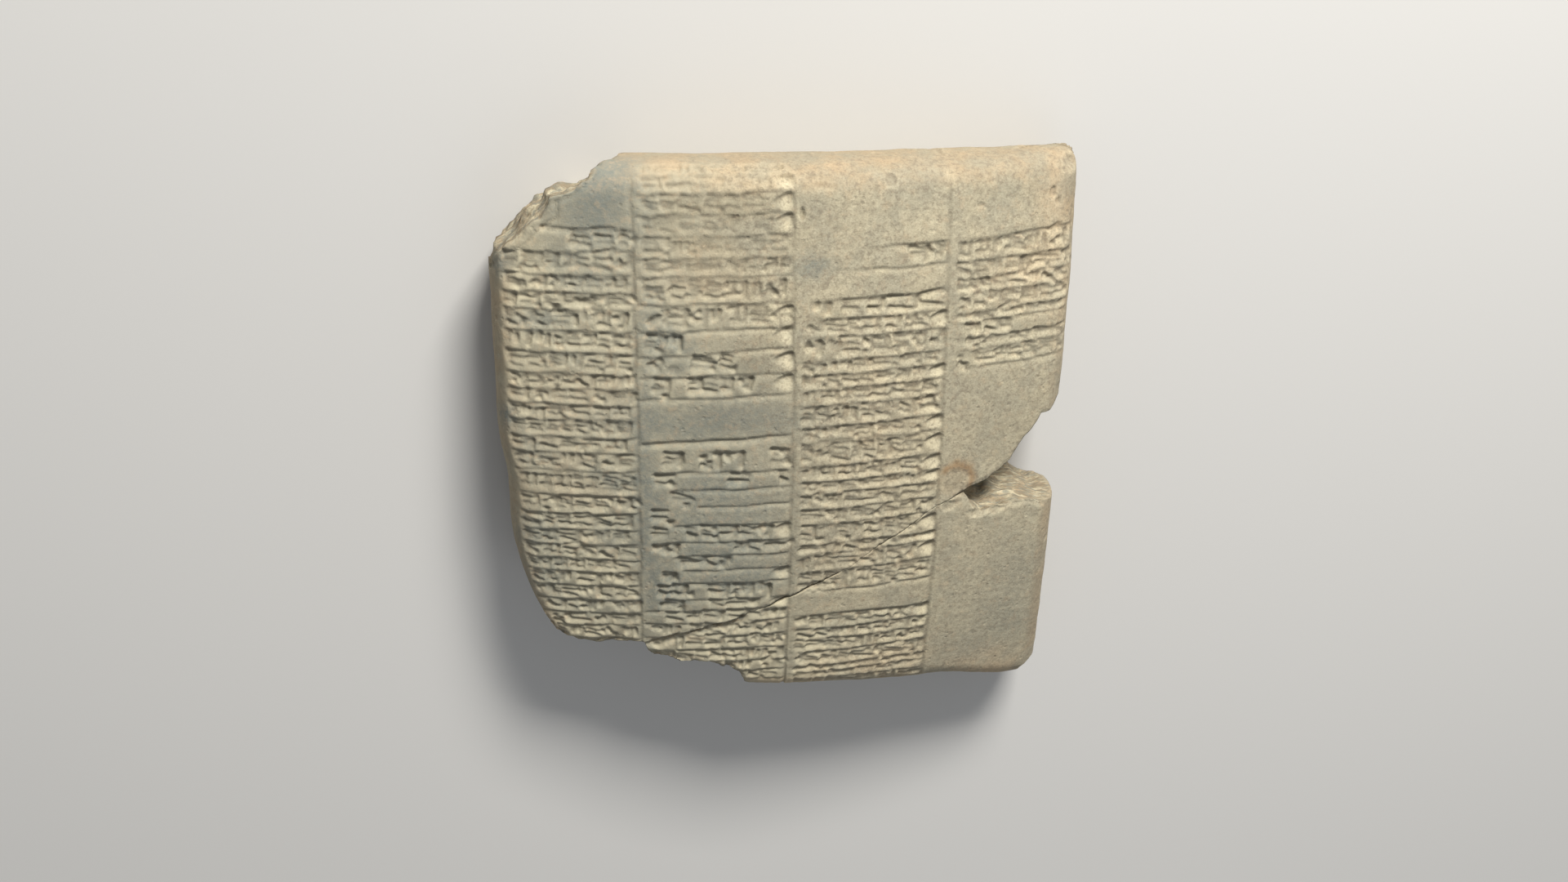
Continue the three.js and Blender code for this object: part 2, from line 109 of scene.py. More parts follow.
TIP_BREAK = evenly_leaning(
    -2.0, (-11.4, -84.0), (-14.2, -78.0), (-15.4, -73.6), (-19.0, -71.2), (-27.0, -69.2), (-36.5, -67.2),
    (-43.4, -65.4))
JOIN = [
    (-45.6, -60.9), (-37.7, -57.9), (-28.0, -55.8), (-16.1, -51.8), (-4.0, -46.2), (9.3, -40.1),
    (19.0, -34.8), (26.3, -29.2), (36.1, -23.3), (43.5, -17.4), (50.5, -14.4),
]
JOIN_GAP = 0.14
JOIN_SIDE = (0.4372, -0.8994)  # across the join, towards the foot
OUTSIDE = 111  # far enough out to pass every edge
# Heights on the broken walls, and the shares of the lean and of the drawing in at each.
LEVELS = (-2.94, 8.82, 20.16, 31.08, 48.3)
LEAN_SHARES = (0.9, 1.0, 0.65, 0.0, -0.5)
UNDER_SHARES = (1.1, 0.5, 0.0, 0.0, 0.0)

# Columns of writing: their left and right limits, and the rows from the head down. A row is
# (ruling at its left end, ruling at its right end, shares of the column that hold signs,
#  where the ruling starts and stops, large last stroke or not).
FULL = ((0.0, 1.0),)
WHOLE = (0.0, 1.0)


def full_rows(*places):
    """Rows that are written and ruled from end to end, without a large last stroke."""
    return tuple((at_left, at_right, FULL, WHOLE, False) for at_left, at_right in places)


COLUMNS = (
    (-84.5, -46.2, 80.0, (
        (74.2, 73.4, (), (0.3, 1.0), False),
        (67.0, 67.4, ((0.52, 1.0),), (0.2, 1.0), False),
        *full_rows(
            (60.4, 60.6), (55.4, 55.2), (50.2, 50.6), (44.0, 44.2), (37.8, 37.4), (31.4, 31.0),
            (26.2, 26.8), (21.8, 21.4), (16.4, 17.2), (11.2, 11.4), (6.4, 6.2), (0.4, 0.4),
            (-7.4, -8.0), (-14.2, -13.8), (-19.6, -19.4), (-25.0, -24.6), (-29.4, -30.2),
            (-34.4, -34.6), (-39.6, -39.4), (-44.8, -44.8), (-50.0, -49.6), (-54.8, -54.2),
            (-60.5, -59.5)
        ),
    )),
    (-46.2, -0.6, 94.0, (
        (88.9, 89.3, FULL, WHOLE, False),
        (83.4, 84.2, FULL, WHOLE, True),
        (77.8, 78.4, FULL, WHOLE, True),
        (71.6, 72.4, FULL, WHOLE, True),
        *full_rows((65.2, 66.0), (60.2, 60.8), (52.2, 52.8)),
        (44.2, 45.4, FULL, WHOLE, True),
        (36.6, 39.4, ((0.0, 0.28),), (0.0, 1.0), True),
        (30.4, 31.8, ((0.0, 0.1), (0.34, 0.74)), WHOLE, True),
        (23.6, 25.0, ((0.06, 0.18), (0.32, 0.84)), WHOLE, True),
        (9.8, 12.0, (), WHOLE, False),
        (0.2, 0.6, ((0.1, 0.24), (0.33, 0.68), (0.86, 1.0)), (0.08, 1.0), False),
        (-5.8, -5.0, ((0.03, 0.2), (0.56, 0.74), (0.92, 1.0)), (0.22, 1.0), False),
        (-11.4, -10.6, ((0.14, 0.36),), (0.36, 1.0), False),
        (-17.9, -17.1, ((0.02, 0.18),), (0.2, 1.0), False),
        (-23.6, -23.2, ((0.02, 0.16), (0.3, 1.0)), (0.18, 1.0), True),
        (-28.6, -28.0, ((0.0, 0.2), (0.6, 1.0)), (0.2, 1.0), False),
        (-33.6, -33.4, ((0.2, 0.58),), (0.26, 1.0), False),
        (-38.6, -38.0, ((0.1, 0.22),), (0.26, 1.0), True),
        (-44.6, -44.2, ((0.06, 0.26), (0.4, 0.92)), (0.28, 1.0), False),
        (-48.8, -48.2, ((0.1, 0.28), (0.5, 0.95)), WHOLE, True),
        (-53.9, -52.9, ((0.1, 1.0),), WHOLE, False),
        *full_rows((-58.8, -58.4), (-64.1, -63.6), (-69.2, -68.8), (-73.1, -72.9), (-77.2, -76.8)),
    )),
    (-0.6, 45.8, 80.0, (
        (67.2, 67.8, (), (0.45, 1.0), False),
        (61.0, 61.4, ((0.72, 0.98),), (0.2, 1.0), False),
        (52.4, 53.4, (), (0.1, 1.0), False),
        (47.1, 47.4, ((0.06, 1.0),), WHOLE, False),
        (41.8, 41.9, FULL, WHOLE, True),
        (34.6, 35.1, FULL, WHOLE, False),
        (30.2, 30.7, FULL, WHOLE, False),
        (25.8, 26.3, FULL, WHOLE, True),
        (20.6, 21.4, FULL, WHOLE, False),
        (13.6, 14.8, FULL, WHOLE, False),
        (9.2, 9.8, FULL, WHOLE, True),
        (0.9, 1.7, FULL, WHOLE, True),
        (-4.4, -3.6, FULL, WHOLE, True),
        (-8.4, -7.6, FULL, WHOLE, True),
        (-13.8, -13.0, FULL, WHOLE, False),
        (-19.2, -18.2, FULL, WHOLE, False),
        (-26.3, -25.3, FULL, WHOLE, True),
        (-29.6, -28.6, FULL, WHOLE, True),
        (-36.2, -34.9, FULL, WHOLE, True),
        (-43.6, -42.4, FULL, WHOLE, False),
        (-52.3, -52.6, (), WHOLE, False),
        (-57.9, -57.5, FULL, WHOLE, True),
        *full_rows(
            (-62.2, -61.8), (-67.2, -66.8), (-72.9, -72.5), (-75.6, -75.4), (-78.8, -78.8),
            (-81.4, -82.8)
        ),
    )),
    (45.8, 86.0, 80.0, (
        (67.4, 68.9, (), (0.14, 1.0), False),
        *full_rows((60.9, 61.9), (55.8, 56.8), (51.4, 52.4), (45.7, 46.5), (42.7, 43.5)),
        (37.7, 38.5, ((0.08, 0.5),), WHOLE, False),
        (34.1, 35.1, ((0.06, 1.0),), WHOLE, False),
        (28.5, 29.5, FULL, WHOLE, False),
    )),
)
BACK_ROW_HEIGHT = 9.5


def back_rows(at_left, at_right, stop):
    down = [BACK_ROW_HEIGHT * n for n in range(1, stop)]
    return full_rows(*((at_left - step, at_right - step) for step in down))


# The back was not seen: a few rulings and worn strokes in the same columns.
BACK_COLUMNS = (
    (-84.0, -46.2, 72.0, back_rows(72.0, 71.4, 8)),
    (-46.2, -0.6, 76.0, back_rows(76.0, 76.4, 12)),
    (-0.6, 45.8, 76.0, back_rows(76.0, 76.6, 9)),
    (45.8, 84.0, 70.0, back_rows(70.0, 70.4, 4)),
)
COLUMN_LINES = (-46.2, -0.6, 45.8)
LEFT_STRIP = 2.6
RIGHT_STRIP = 0.8

# Chips and pits on the face: (x, y, radius across, radius along, depth), millimetres.
FACE_CHIPS = (
    (27.5, 86.0, 2.0, 1.6, 0.7), (78.5, 79.0, 1.4, 1.9, 0.8), (80.2, 76.2, 1.1, 1.3, 0.7),
    (83.5, 88.0, 3.4, 3.6, 0.8), (1.8, 77.8, 1.2, 2.6, 1.1), (2.0, 90.0, 1.6, 1.6, 0.5),
    (55.5, 77.5, 1.2, 1.0, 0.35), (51.5, -8.5, 4.6, 5.6, 0.5), (54.5, 54.5, 3.6, 2.8, 0.7),
    (70.0, 57.5, 3.0, 3.2, 0.6), (42.0, 18.5, 2.2, 2.6, 0.9), (-3.0, 46.6, 2.6, 2.0, 0.6),
    (-60.5, 52.5, 3.4, 2.4, 0.8), (-68.0, 50.5, 2.6, 1.6, 0.6), (8.0, -41.5, 4.6, 1.6, 0.5),
    (-8.0, 54.5, 3.2, 2.2, 0.5), (49.5, -17.0, 2.4, 1.8, 0.6), (59.5, -20.5, 3.4, 1.8, 0.9),
    (66.5, -21.0, 2.8, 1.3, 0.7), (-6.0, 63.0, 3.0, 2.0, 0.4), (-36.0, 33.0, 2.0, 1.4, 0.4),
)

# Soft patches of colour: (x, y, reach across, reach along, strength).
# The grey patch at (58, -13) is painted shade: the shadow in the gap between the fragments at the notch.
GREY_AND_GAP_SHADE_PATCHES = (
    (-66, 0, 24, 70, 0.3), (-22, -28, 26, 36, 0.38), (-50, 60, 10, 26, 0.2), (70, -55, 26, 34, 0.15),
    (-56, 83, 15, 17, 1.0), (-84, 62, 4, 4, 0.9), (-73, 47, 11, 4, 0.7), (-60, 59, 8, 4, 0.6),
    (-49, 89, 8, 7, 0.6), (-20, 32, 22, 9, 0.35), (-64, 36, 9, 4, 0.35), (-22, 17, 36, 8, 0.8),
    (-22, -22, 26, 40, 0.4), (-43.5, -8, 3.5, 56, 0.8), (-22, -5, 16, 8, 0.8),
    (-20, -14, 18, 4, 0.5), (-20, -27, 20, 6, 0.6), (-38, -42, 6, 10, 0.95), (-15, -37, 16, 4, 0.7),
    (-78, -20, 8, 7, 0.7), (-75, -36, 8, 10, 0.6), (-54, -20, 7, 7, 0.45), (-52, -2, 8, 4, 0.7),
    (-77, 6, 8, 8, 0.4), (-84, 17, 4, 3.5, 1.0), (-60, -48, 14, 6, 0.4), (5, 62, 5, 4.5, 0.9),
    (24, 64, 3, 3, 0.35), (40, 86, 6, 6, 0.4), (-37, 42, 9, 5, 0.8), (-35, 34, 7, 3, 0.5),
    (-28, 50, 8, 3, 0.35), (70, -60, 12, 12, 0.3), (78, -44, 8, 10, 0.35), (60, -74, 10, 7, 0.4),
    (58, -13, 5, 3, 0.7), (58, 22, 12, 12, 0.25), (-30, -20, 8, 5, 0.5), (-41, 51, 4, 10, 0.5),
    (26, -56, 14, 4, 0.3), (34, 62, 8, 6, 0.2), (-66, 66, 6, 4, 0.5), (78, -66, 7, 8, 0.35),
)
# Darker patches; the long band at y 94 is painted shade along the head edge, which turns towards the key
# light.
DUSK_AND_SHADE_PATCHES = (
    (-56, 76, 17, 15, 1.0), (-24, 17, 24, 7, 0.7), (66, 86, 24, 9, 0.45), (68, 10, 18, 14, 0.35),
    (0, 94, 95, 6, 0.8), (-48, 89, 9, 8, 1.0), (-24, 82, 32, 18, 0.85), (-20, 33, 22, 11, 0.9),
)
TAN_PATCHES = (
    (-30, 92, 45, 3.5, 0.7), (40, 92, 50, 4, 0.8), (82, 82, 8, 12, 0.8), (62, -88, 30, 6, 0.8),
    (64, -79, 13, 3, 0.7), (-70, 8, 6, 9, 0.35), (-30, 60, 18, 10, 0.25), (30, -75, 26, 8, 0.35),
    (80, 55, 8, 14, 0.35), (66, 58, 14, 8, 0.3), (-62, 24, 18, 8, 0.2), (22, 10, 20, 30, 0.2),
    (-64, -6, 14, 5, 0.3), (24, -32, 22, 8, 0.25),
)
# Where the strokes are worn shallow, and where the painted highlight on their raised edges is weaker.
WORN_PATCHES = ((-22, 72, 24, 17, 0.42), (-22, 68, 16, 7, 0.25), (6, 55, 7, 8, 0.4), (60, 55, 9, 5, 0.25))
DULL_PATCHES = ((-23, 84, 34, 20, 0.55), (-50, 10, 60, 90, 0.2))
# How far the edges of the patches wander along each axis.
WANDER_LAYERS = ((10, 2.2), (4, 1.2), (1.6, 0.6))
WANDER_SEEDS = (70, 90)
RING_PLACE = (51.0, -8.4)
RING_REACH = (5.8, 6.8)
RING_BROWN = (0.34, 0.19, 0.08, 1.0)
SPECK_BROWN = (0.2, 0.165, 0.12, 1.0)

SHOULDER_ROUNDS = 7
SWELL_ROUNDS = 26
BEND_ROUNDS = 5
WALL_STEP = 0.8  # millimetres between the points of a broken wall
MAIN_TRIANGLES = 196000
FOOT_TRIANGLES = 120000
BREAK_SEED = 301  # one seed for both fragments, so that the two sides of the join fit

LAMP_TARGET = (0.0, 0.0, 0.02)
CAMERA_PLACE = (-0.0748, 0.2164, 0.4785)
CAMERA_RIGHT = (0.988, 0.0167, 0.1537)
CAMERA_FORWARD = (0.1463, -0.4223, -0.8946)
CAMERA_LENS = 37.79
SENSOR_WIDTH = 36.0
KEY_PLACE = (0.26, 1.0, 0.58)
KEY_SIZE = (0.4, 0.3)
KEY_TINT = (1.0, 0.975, 0.925)
FILL_PLACE = (0.35, -0.75, 0.9)
FILL_SIZE = (0.9, 0.9)
ROOM_TINT = (0.93, 0.96, 1.0)
FLOOR_SIZE = 6.0
FLOOR_ROUGHNESS = 0.85


def length_value(name, description, default, least, most):
    return FloatProperty(
        name=name, description=description, default=default, min=least, max=most,
        subtype="DISTANCE", unit="LENGTH")


def share_value(name, description, default, most=1.0):
    return FloatProperty(
        name=name, description=description, default=default, min=0.0, max=most, subtype="FACTOR")


def power_value(name, description, default):
    return FloatProperty(
        name=name, description=description, default=default, min=0.0, subtype="POWER", unit="POWER")


def colour_value(name, description, default):
    return FloatVectorProperty(
        name=name, description=description, default=default, size=3, subtype="COLOR", min=0.0, max=1.0)


class TabletSizes(bpy.types.PropertyGroup):
    """Sizes of the pressed relief"""

    stroke_depth: length_value("Stroke depth", "Depth of a common stroke at its head", 0.00125, 0.0002, 0.004)
    stroke_width: length_value("Stroke width", "Width of a common stroke at its head", 0.0027, 0.0004, 0.005)
    end_depth: length_value(
        "Last stroke depth", "Depth of the large last stroke of a row", 0.0018, 0.0002, 0.004)
    ruling_depth: length_value("Ruling depth", "Depth of the lines between the rows", 0.0009, 0.0001, 0.002)
    ruling_width: length_value("Ruling width", "Width of the lines between the rows", 0.0026, 0.0003, 0.004)
    column_line_depth: length_value(
        "Column line depth", "Depth of the lines between the columns", 0.0007, 0.0001, 0.002)
    softness: IntProperty(
        name="Softness", description="How often the relief is smoothed by wear", default=1, min=0, max=12)
    crispness: share_value("Crispness", "Share of each stroke's depth that keeps its sharp form", 0.9)
    shoulders: share_value(
        "Rounded shoulders", "Share of the depth that rounds the clay between the strokes", 0.5, 2.0)
    rim: share_value("Raised rims", "Share of the pressed clay that swells up between the strokes", 0.55)
    grid: length_value("Grid", "Spacing of the points of the unbroken form", 0.00044, 0.0003, 0.002)
    seed: IntProperty(name="Seed", description="Seed of the strokes and of the wear", default=11)


class ClayColours(bpy.types.PropertyGroup):
    """Colours of the fired clay, also used for its painted highlights and shade"""

    # Also the painted highlight on crests, on the walls of the strokes that face the head, and on the last
    # strokes.
    cream_and_highlight: colour_value("Cream", "Raised, rubbed clay", (0.66, 0.59, 0.41))
    sand: colour_value("Sand", "Common clay", (0.42, 0.37, 0.26))
    # Also the painted shadow in the gap at the notch.
    grey: colour_value("Blue-grey", "Patches fired with little air", (0.205, 0.215, 0.185))
    # Also the painted shade in the recesses of the strokes, besides the fine dark specks.
    brown_and_hollow_shade: colour_value("Brown", "Earth left in the strokes", (0.15, 0.115, 0.075))
    # Partly painted shade: laid over the crowded writing, the head edge and the turned edges.
    dusk_and_shade: colour_value("Dusk", "Darker clay where the strokes crowd", (0.205, 0.182, 0.128))
    tan: colour_value("Tan", "Warm clay along the edges", (0.54, 0.395, 0.245))
    # Partly painted shade: its dark streaks stand for the shadows of the rough broken walls.
    fresh_and_shade: colour_value("Broken clay", "Darker layers inside the breaks", (0.26, 0.21, 0.14))


class StageSettings(bpy.types.PropertyGroup):
    """Floor and lights"""

    floor_colour: colour_value("Floor", "Colour of the plain floor", (0.66, 0.65, 0.63))
    key_power: power_value("Key light", "Power of the large lamp over the head side", 21.0)
    fill_power: power_value("Fill light", "Power of the lamp over the camera side", 1.6)
    sky_strength: FloatProperty(
        name="Room light", description="Strength of the even light all round", default=0.24, min=0.0)


def smooth(t):
    t = np.clip(t, 0.0, 1.0)
    return t * t * (3.0 - 2.0 * t)


def side_reach(x, y):
    """How far the side edge stands from the middle, on the side that x is on."""
    lower = HALF_WIDTH - RIGHT_LEAN * y
    upper = HALF_WIDTH - UPPER_RIGHT_INSET - UPPER_RIGHT_LEAN * y
    right = lower + (upper - lower) * smooth((y / HALF_HEIGHT - UPPER_RIGHT_FROM) / UPPER_RIGHT_SPAN)
    press = LEFT_INSET + LEFT_PRESS * smooth((LEFT_PRESS_FROM - y / HALF_HEIGHT) / LEFT_PRESS_SPAN)
    left = HALF_WIDTH - press - LEFT_CURVE * np.minimum(0.0, y - LEFT_CURVE_FROM) ** 2
    return np.where(x >= 0, right, left)


def end_reach(x, y):
    """How far the head or foot edge stands from the middle, on the end that y is on."""
    head = HALF_HEIGHT - HEAD_INSET - HEAD_SLANT * x
    foot = HALF_HEIGHT - FOOT_INSET - FOOT_SLANT * (HALF_WIDTH - EDGE_ROUNDING - x)
    foot = foot + FOOT_FLARE * smooth((x / HALF_WIDTH - FLARE_FROM) / FLARE_SPAN)
    return np.where(y >= 0, head, foot)


def band_share(edge, place, band=EDGE_ROUNDING):
    return np.clip(1.0 - (edge - np.abs(place)) / band, 0.0, 1.0)


def edge_share(x, y, band=EDGE_ROUNDING):
    """0 on the open face or back, 1 where the side is widest."""
    across = band_share(side_reach(x, y), x, band)
    along = band_share(end_reach(x, y), y, band)
    return np.minimum(1.0, (across ** CORNER_FULLNESS + along ** CORNER_FULLNESS) ** (1 / CORNER_FULLNESS))


def roll(share, fullness=EDGE_FULLNESS):
    return np.clip(1.0 - share ** fullness, 0.0, 1.0) ** (1 / fullness)


def dome_height(x, y):
    return THICKNESS - DOME_ACROSS * (x / HALF_WIDTH) ** 2 - DOME_ALONG * (y / HALF_HEIGHT) ** 2


def face_height(x, y):
    top = dome_height(x, y)
    return GIRTH_SHARE * top + (1 - GIRTH_SHARE) * top * roll(edge_share(x, y))


def back_height(x, y):
    share = edge_share(x, y, BACK_ROUNDING)
    return GIRTH_SHARE * dome_height(x, y) * (1.0 - roll(share, BACK_FULLNESS))


def lattice_value(ix, iy, iz, seed):
    """A number from -1 to 1 for each place of a lattice, always the same."""
    value = (ix * 73856093) ^ (iy * 19349663) ^ (iz * 83492791) ^ (seed * 40503 + 977)
    value = (value ^ (value >> 13)) & 0x7FFFFFFF
    value = (value * 1274126177) & 0x7FFFFFFF
    value = value ^ (value >> 15)
    return (value & 0xFFFF) / 32767.5 - 1.0


def noise(points, size, seed):
    """Smooth noise from -1 to 1 at the points; size is one number or one for each axis."""
    place = points / np.asarray(size, dtype=float)
    cell = np.floor(place).astype(np.int64)
    part = place - cell
    part = part * part * (3.0 - 2.0 * part)
    total = np.zeros(len(points))
    for corner in range(8):
        step = np.array([corner & 1, (corner >> 1) & 1, corner >> 2])
        weight = np.prod(np.where(step, part, 1.0 - part), axis=1)
        at = cell + step
        total += weight * lattice_value(at[:, 0], at[:, 1], at[:, 2], seed)
    return total


def layered_noise(points, layers, seed):
    """Sum of noises, given as (size, height) pairs."""
    total = np.zeros(len(points))
    for number, (size, height) in enumerate(layers):
        total += height * noise(points, size, seed + 17 * number)
    return total


def distance_to_line(x, y, line):
    """Distance of each place from a line of (x, y, ...) points."""
    nearest = np.full(len(x), 1e9)
    for start, end in zip(line, line[1:]):
        ax, ay = start[0], start[1]
        bx, by = end[0] - ax, end[1] - ay
        share = np.clip(((x - ax) * bx + (y - ay) * by) / (bx * bx + by * by), 0.0, 1.0)
        nearest = np.minimum(nearest, np.hypot(x - ax - share * bx, y - ay - share * by))
    return nearest


def patches(x, y, spots):
    """Overlapping soft patches, 0 to 1."""
    clear = np.ones(len(x))
    for px, py, across, along, strength in spots:
        near = np.exp(-(((x - px) / across) ** 2 + ((y - py) / along) ** 2))
        clear *= 1.0 - strength * near
    return 1.0 - clear


def section_curve():
    """Shares of the edge band from its inner line to the widest line, and the way along the curve to each."""
    turn = np.linspace(0.0, math.pi / 2, 400)
    share = np.sin(turn) ** (2 / EDGE_FULLNESS)
    rise = np.cos(turn) ** (2 / EDGE_FULLNESS)
    girth = GIRTH_SHARE * (THICKNESS - DOME_ALONG)
    steps = np.hypot(np.diff(share) * EDGE_ROUNDING, np.diff(rise) * girth)
    return share, np.concatenate([[0.0], np.cumsum(steps)])


def rolled_out(place, reach):
    """How much further out a place on the turned edge lies when the clay is rolled out flat."""
    share = band_share(reach, place)
    return np.sign(place) * (np.interp(share, *section_curve()) - EDGE_ROUNDING * share)


def section_steps(step):
    """Shares of the edge band, evenly spaced along its curve."""
    share, length = section_curve()
    count = int(length[-1] / step)
    return np.interp(np.linspace(0.0, length[-1], count + 1)[1:], length, share)


def grid_lines(half, step):
    inner = half - EDGE_ROUNDING
    count = int(2 * inner / step)
    middle = np.linspace(-inner, inner, count + 1)
    band = inner + EDGE_ROUNDING * section_steps(step * 1.12)
    return np.concatenate([-band[::-1], middle, band]) / half


def mesh_from(name, points_mm, faces):
    """A mesh from points in millimetres and faces that all have the same number of corners."""
    faces = np.asarray(faces, dtype=np.int32)
    mesh = bpy.data.meshes.new(name)
    mesh.vertices.add(len(points_mm))
    mesh.vertices.foreach_set("co", (np.asarray(points_mm) * MM).astype(np.float32).ravel())
    mesh.loops.add(faces.size)
    mesh.loops.foreach_set("vertex_index", faces.ravel())
    mesh.polygons.add(len(faces))
    mesh.polygons.foreach_set("loop_start", np.arange(0, faces.size, faces.shape[1], dtype=np.int32))
    mesh.update(calc_edges=True)
    return mesh


def link_object(name, mesh):
    made = bpy.data.objects.new(name, mesh)
    bpy.context.scene.collection.objects.link(made)
    return made


def drop_object(made):
    data = made.data
    bpy.data.objects.remove(made, do_unlink=True)
    if data is not None and data.users == 0:
        bpy.data.meshes.remove(data)


def baked(made, name):
    """The mesh of an object as its modifiers leave it."""
    depsgraph = bpy.context.evaluated_depsgraph_get()
    mesh = bpy.data.meshes.new_from_object(
        made.evaluated_get(depsgraph), preserve_all_data_layers=True, depsgraph=depsgraph)
    mesh.name = name
    return mesh


def vectors_of(mesh, name):
    flat = np.empty(len(mesh.vertices) * 3, dtype=np.float32)
    mesh.vertices.foreach_get(name, flat)
    return flat.reshape(-1, 3).astype(float)


def points_of(mesh):
    return vectors_of(mesh, "co") / MM


def normals_of(mesh):
    return vectors_of(mesh, "normal")


def set_points(mesh, points_mm):
    mesh.vertices.foreach_set("co", (points_mm * MM).astype(np.float32).ravel())
    mesh.update()


def number_attribute(mesh, name, values):
    made = mesh.attributes.new(name, "FLOAT", "POINT")
    made.data.foreach_set("value", np.asarray(values, dtype=np.float32))


def read_attribute(mesh, name):
    values = np.empty(len(mesh.vertices), dtype=np.float32)
    mesh.attributes[name].data.foreach_get("value", values)
    return values.astype(float)


def whole_form(step):
    """The unbroken tablet as one closed mesh: a fine face and back that share their widest line."""
    across = grid_lines(HALF_WIDTH, step)
    along = grid_lines(HALF_HEIGHT, step)
    u, v = np.meshgrid(across, along, indexing="ij")
    band = band_share(HALF_HEIGHT, v * HALF_HEIGHT)
    inset = EDGE_ROUNDING * (1.0 - np.clip(1.0 - band ** CORNER_FULLNESS, 0.0, 1.0) ** (1 / CORNER_FULLNESS))
    x = u * (side_reach(u, v * HALF_HEIGHT) - inset)
    y = v * end_reach(x, v)
    face = np.stack([x, y, face_height(x, y)], axis=-1)
    ring = np.zeros(u.shape, dtype=bool)
    ring[[0, -1], :] = True
    ring[:, [0, -1]] = True
    face[ring, 2] = GIRTH_SHARE * dome_height(x[ring], y[ring])
    back = np.stack([x, y, back_height(x, y)], axis=-1)
    index = np.arange(u.size).reshape(u.shape)
    back_index = index.copy()
    back_index[~ring] = u.size + np.arange(np.count_nonzero(~ring))
    points = np.concatenate([face.reshape(-1, 3), back[~ring]])
    quads = []
    for cells, order in ((index, (0, 1, 2, 3)), (back_index, (3, 2, 1, 0))):
        corners = (cells[:-1, :-1], cells[1:, :-1], cells[1:, 1:], cells[:-1, 1:])
        quads.append(np.stack([corners[k].ravel() for k in order], axis=1))
    on_back = np.concatenate([np.zeros(u.size), np.ones(np.count_nonzero(~ring))])
    return points, np.concatenate(quads), on_back


def worn_form(points, normals, on_back, seed):
    """Hand-smoothed unevenness, the chipped corners and the pits, all inwards from the plain form."""
    x, y = points[:, 0], points[:, 1]
    side = smooth(edge_share(x, y) * 1.4)
    swell = layered_noise(points, ((26, 0.09), (9, 0.05), (3.2, 0.028), (1.1, 0.018)), seed)
    rough = layered_noise(points, ((13, 0.22), (5, 0.12), (1.8, 0.06)), seed + 5)
    dents = np.clip(layered_noise(points, ((4.5, 1.0), (2.0, 0.6)), seed + 9) - 0.75, 0.0, 1.0)
    inwards = SKIN - swell + side * (0.06 - rough) + (0.25 + 0.4 * side) * dents
    points = points - normals * np.maximum(inwards, LEAST_WEAR)[:, None]
    corner_x = HALF_WIDTH * WORN_CORNER
    for end, rise, bite in ((-1.0, 0.45, 0.7), (1.0, 0.9, 0.7)):
        corner_y = end * WORN_CORNER * float(end_reach(corner_x, end))
        corner = np.array([corner_x, corner_y, float(face_height(np.array(corner_x), np.array(corner_y)))])
        out = np.array([1.0, end, rise])
        out /= np.linalg.norm(out)
        uneven = layered_noise(points, ((5, 0.5), (1.8, 0.2)), seed + 31)
        excess = np.maximum(0.0, (points - corner) @ out + bite + uneven)
        points = points - excess[:, None] * out * 0.92
    face = 1.0 - on_back
    uneven = layered_noise(points, ((4, 0.4), (1.8, 0.34), (0.8, 0.14)), seed + 41)
    for cx, cy, across, along, depth in FACE_CHIPS:
        reach = np.hypot((points[:, 0] - cx) / across, (points[:, 1] - cy) / along) + uneven
        points[:, 2] -= 0.85 * face * depth * smooth((1.2 - reach) / 0.8)
    return points


STROKE, HOOK, GROOVE, LAST = range(4)


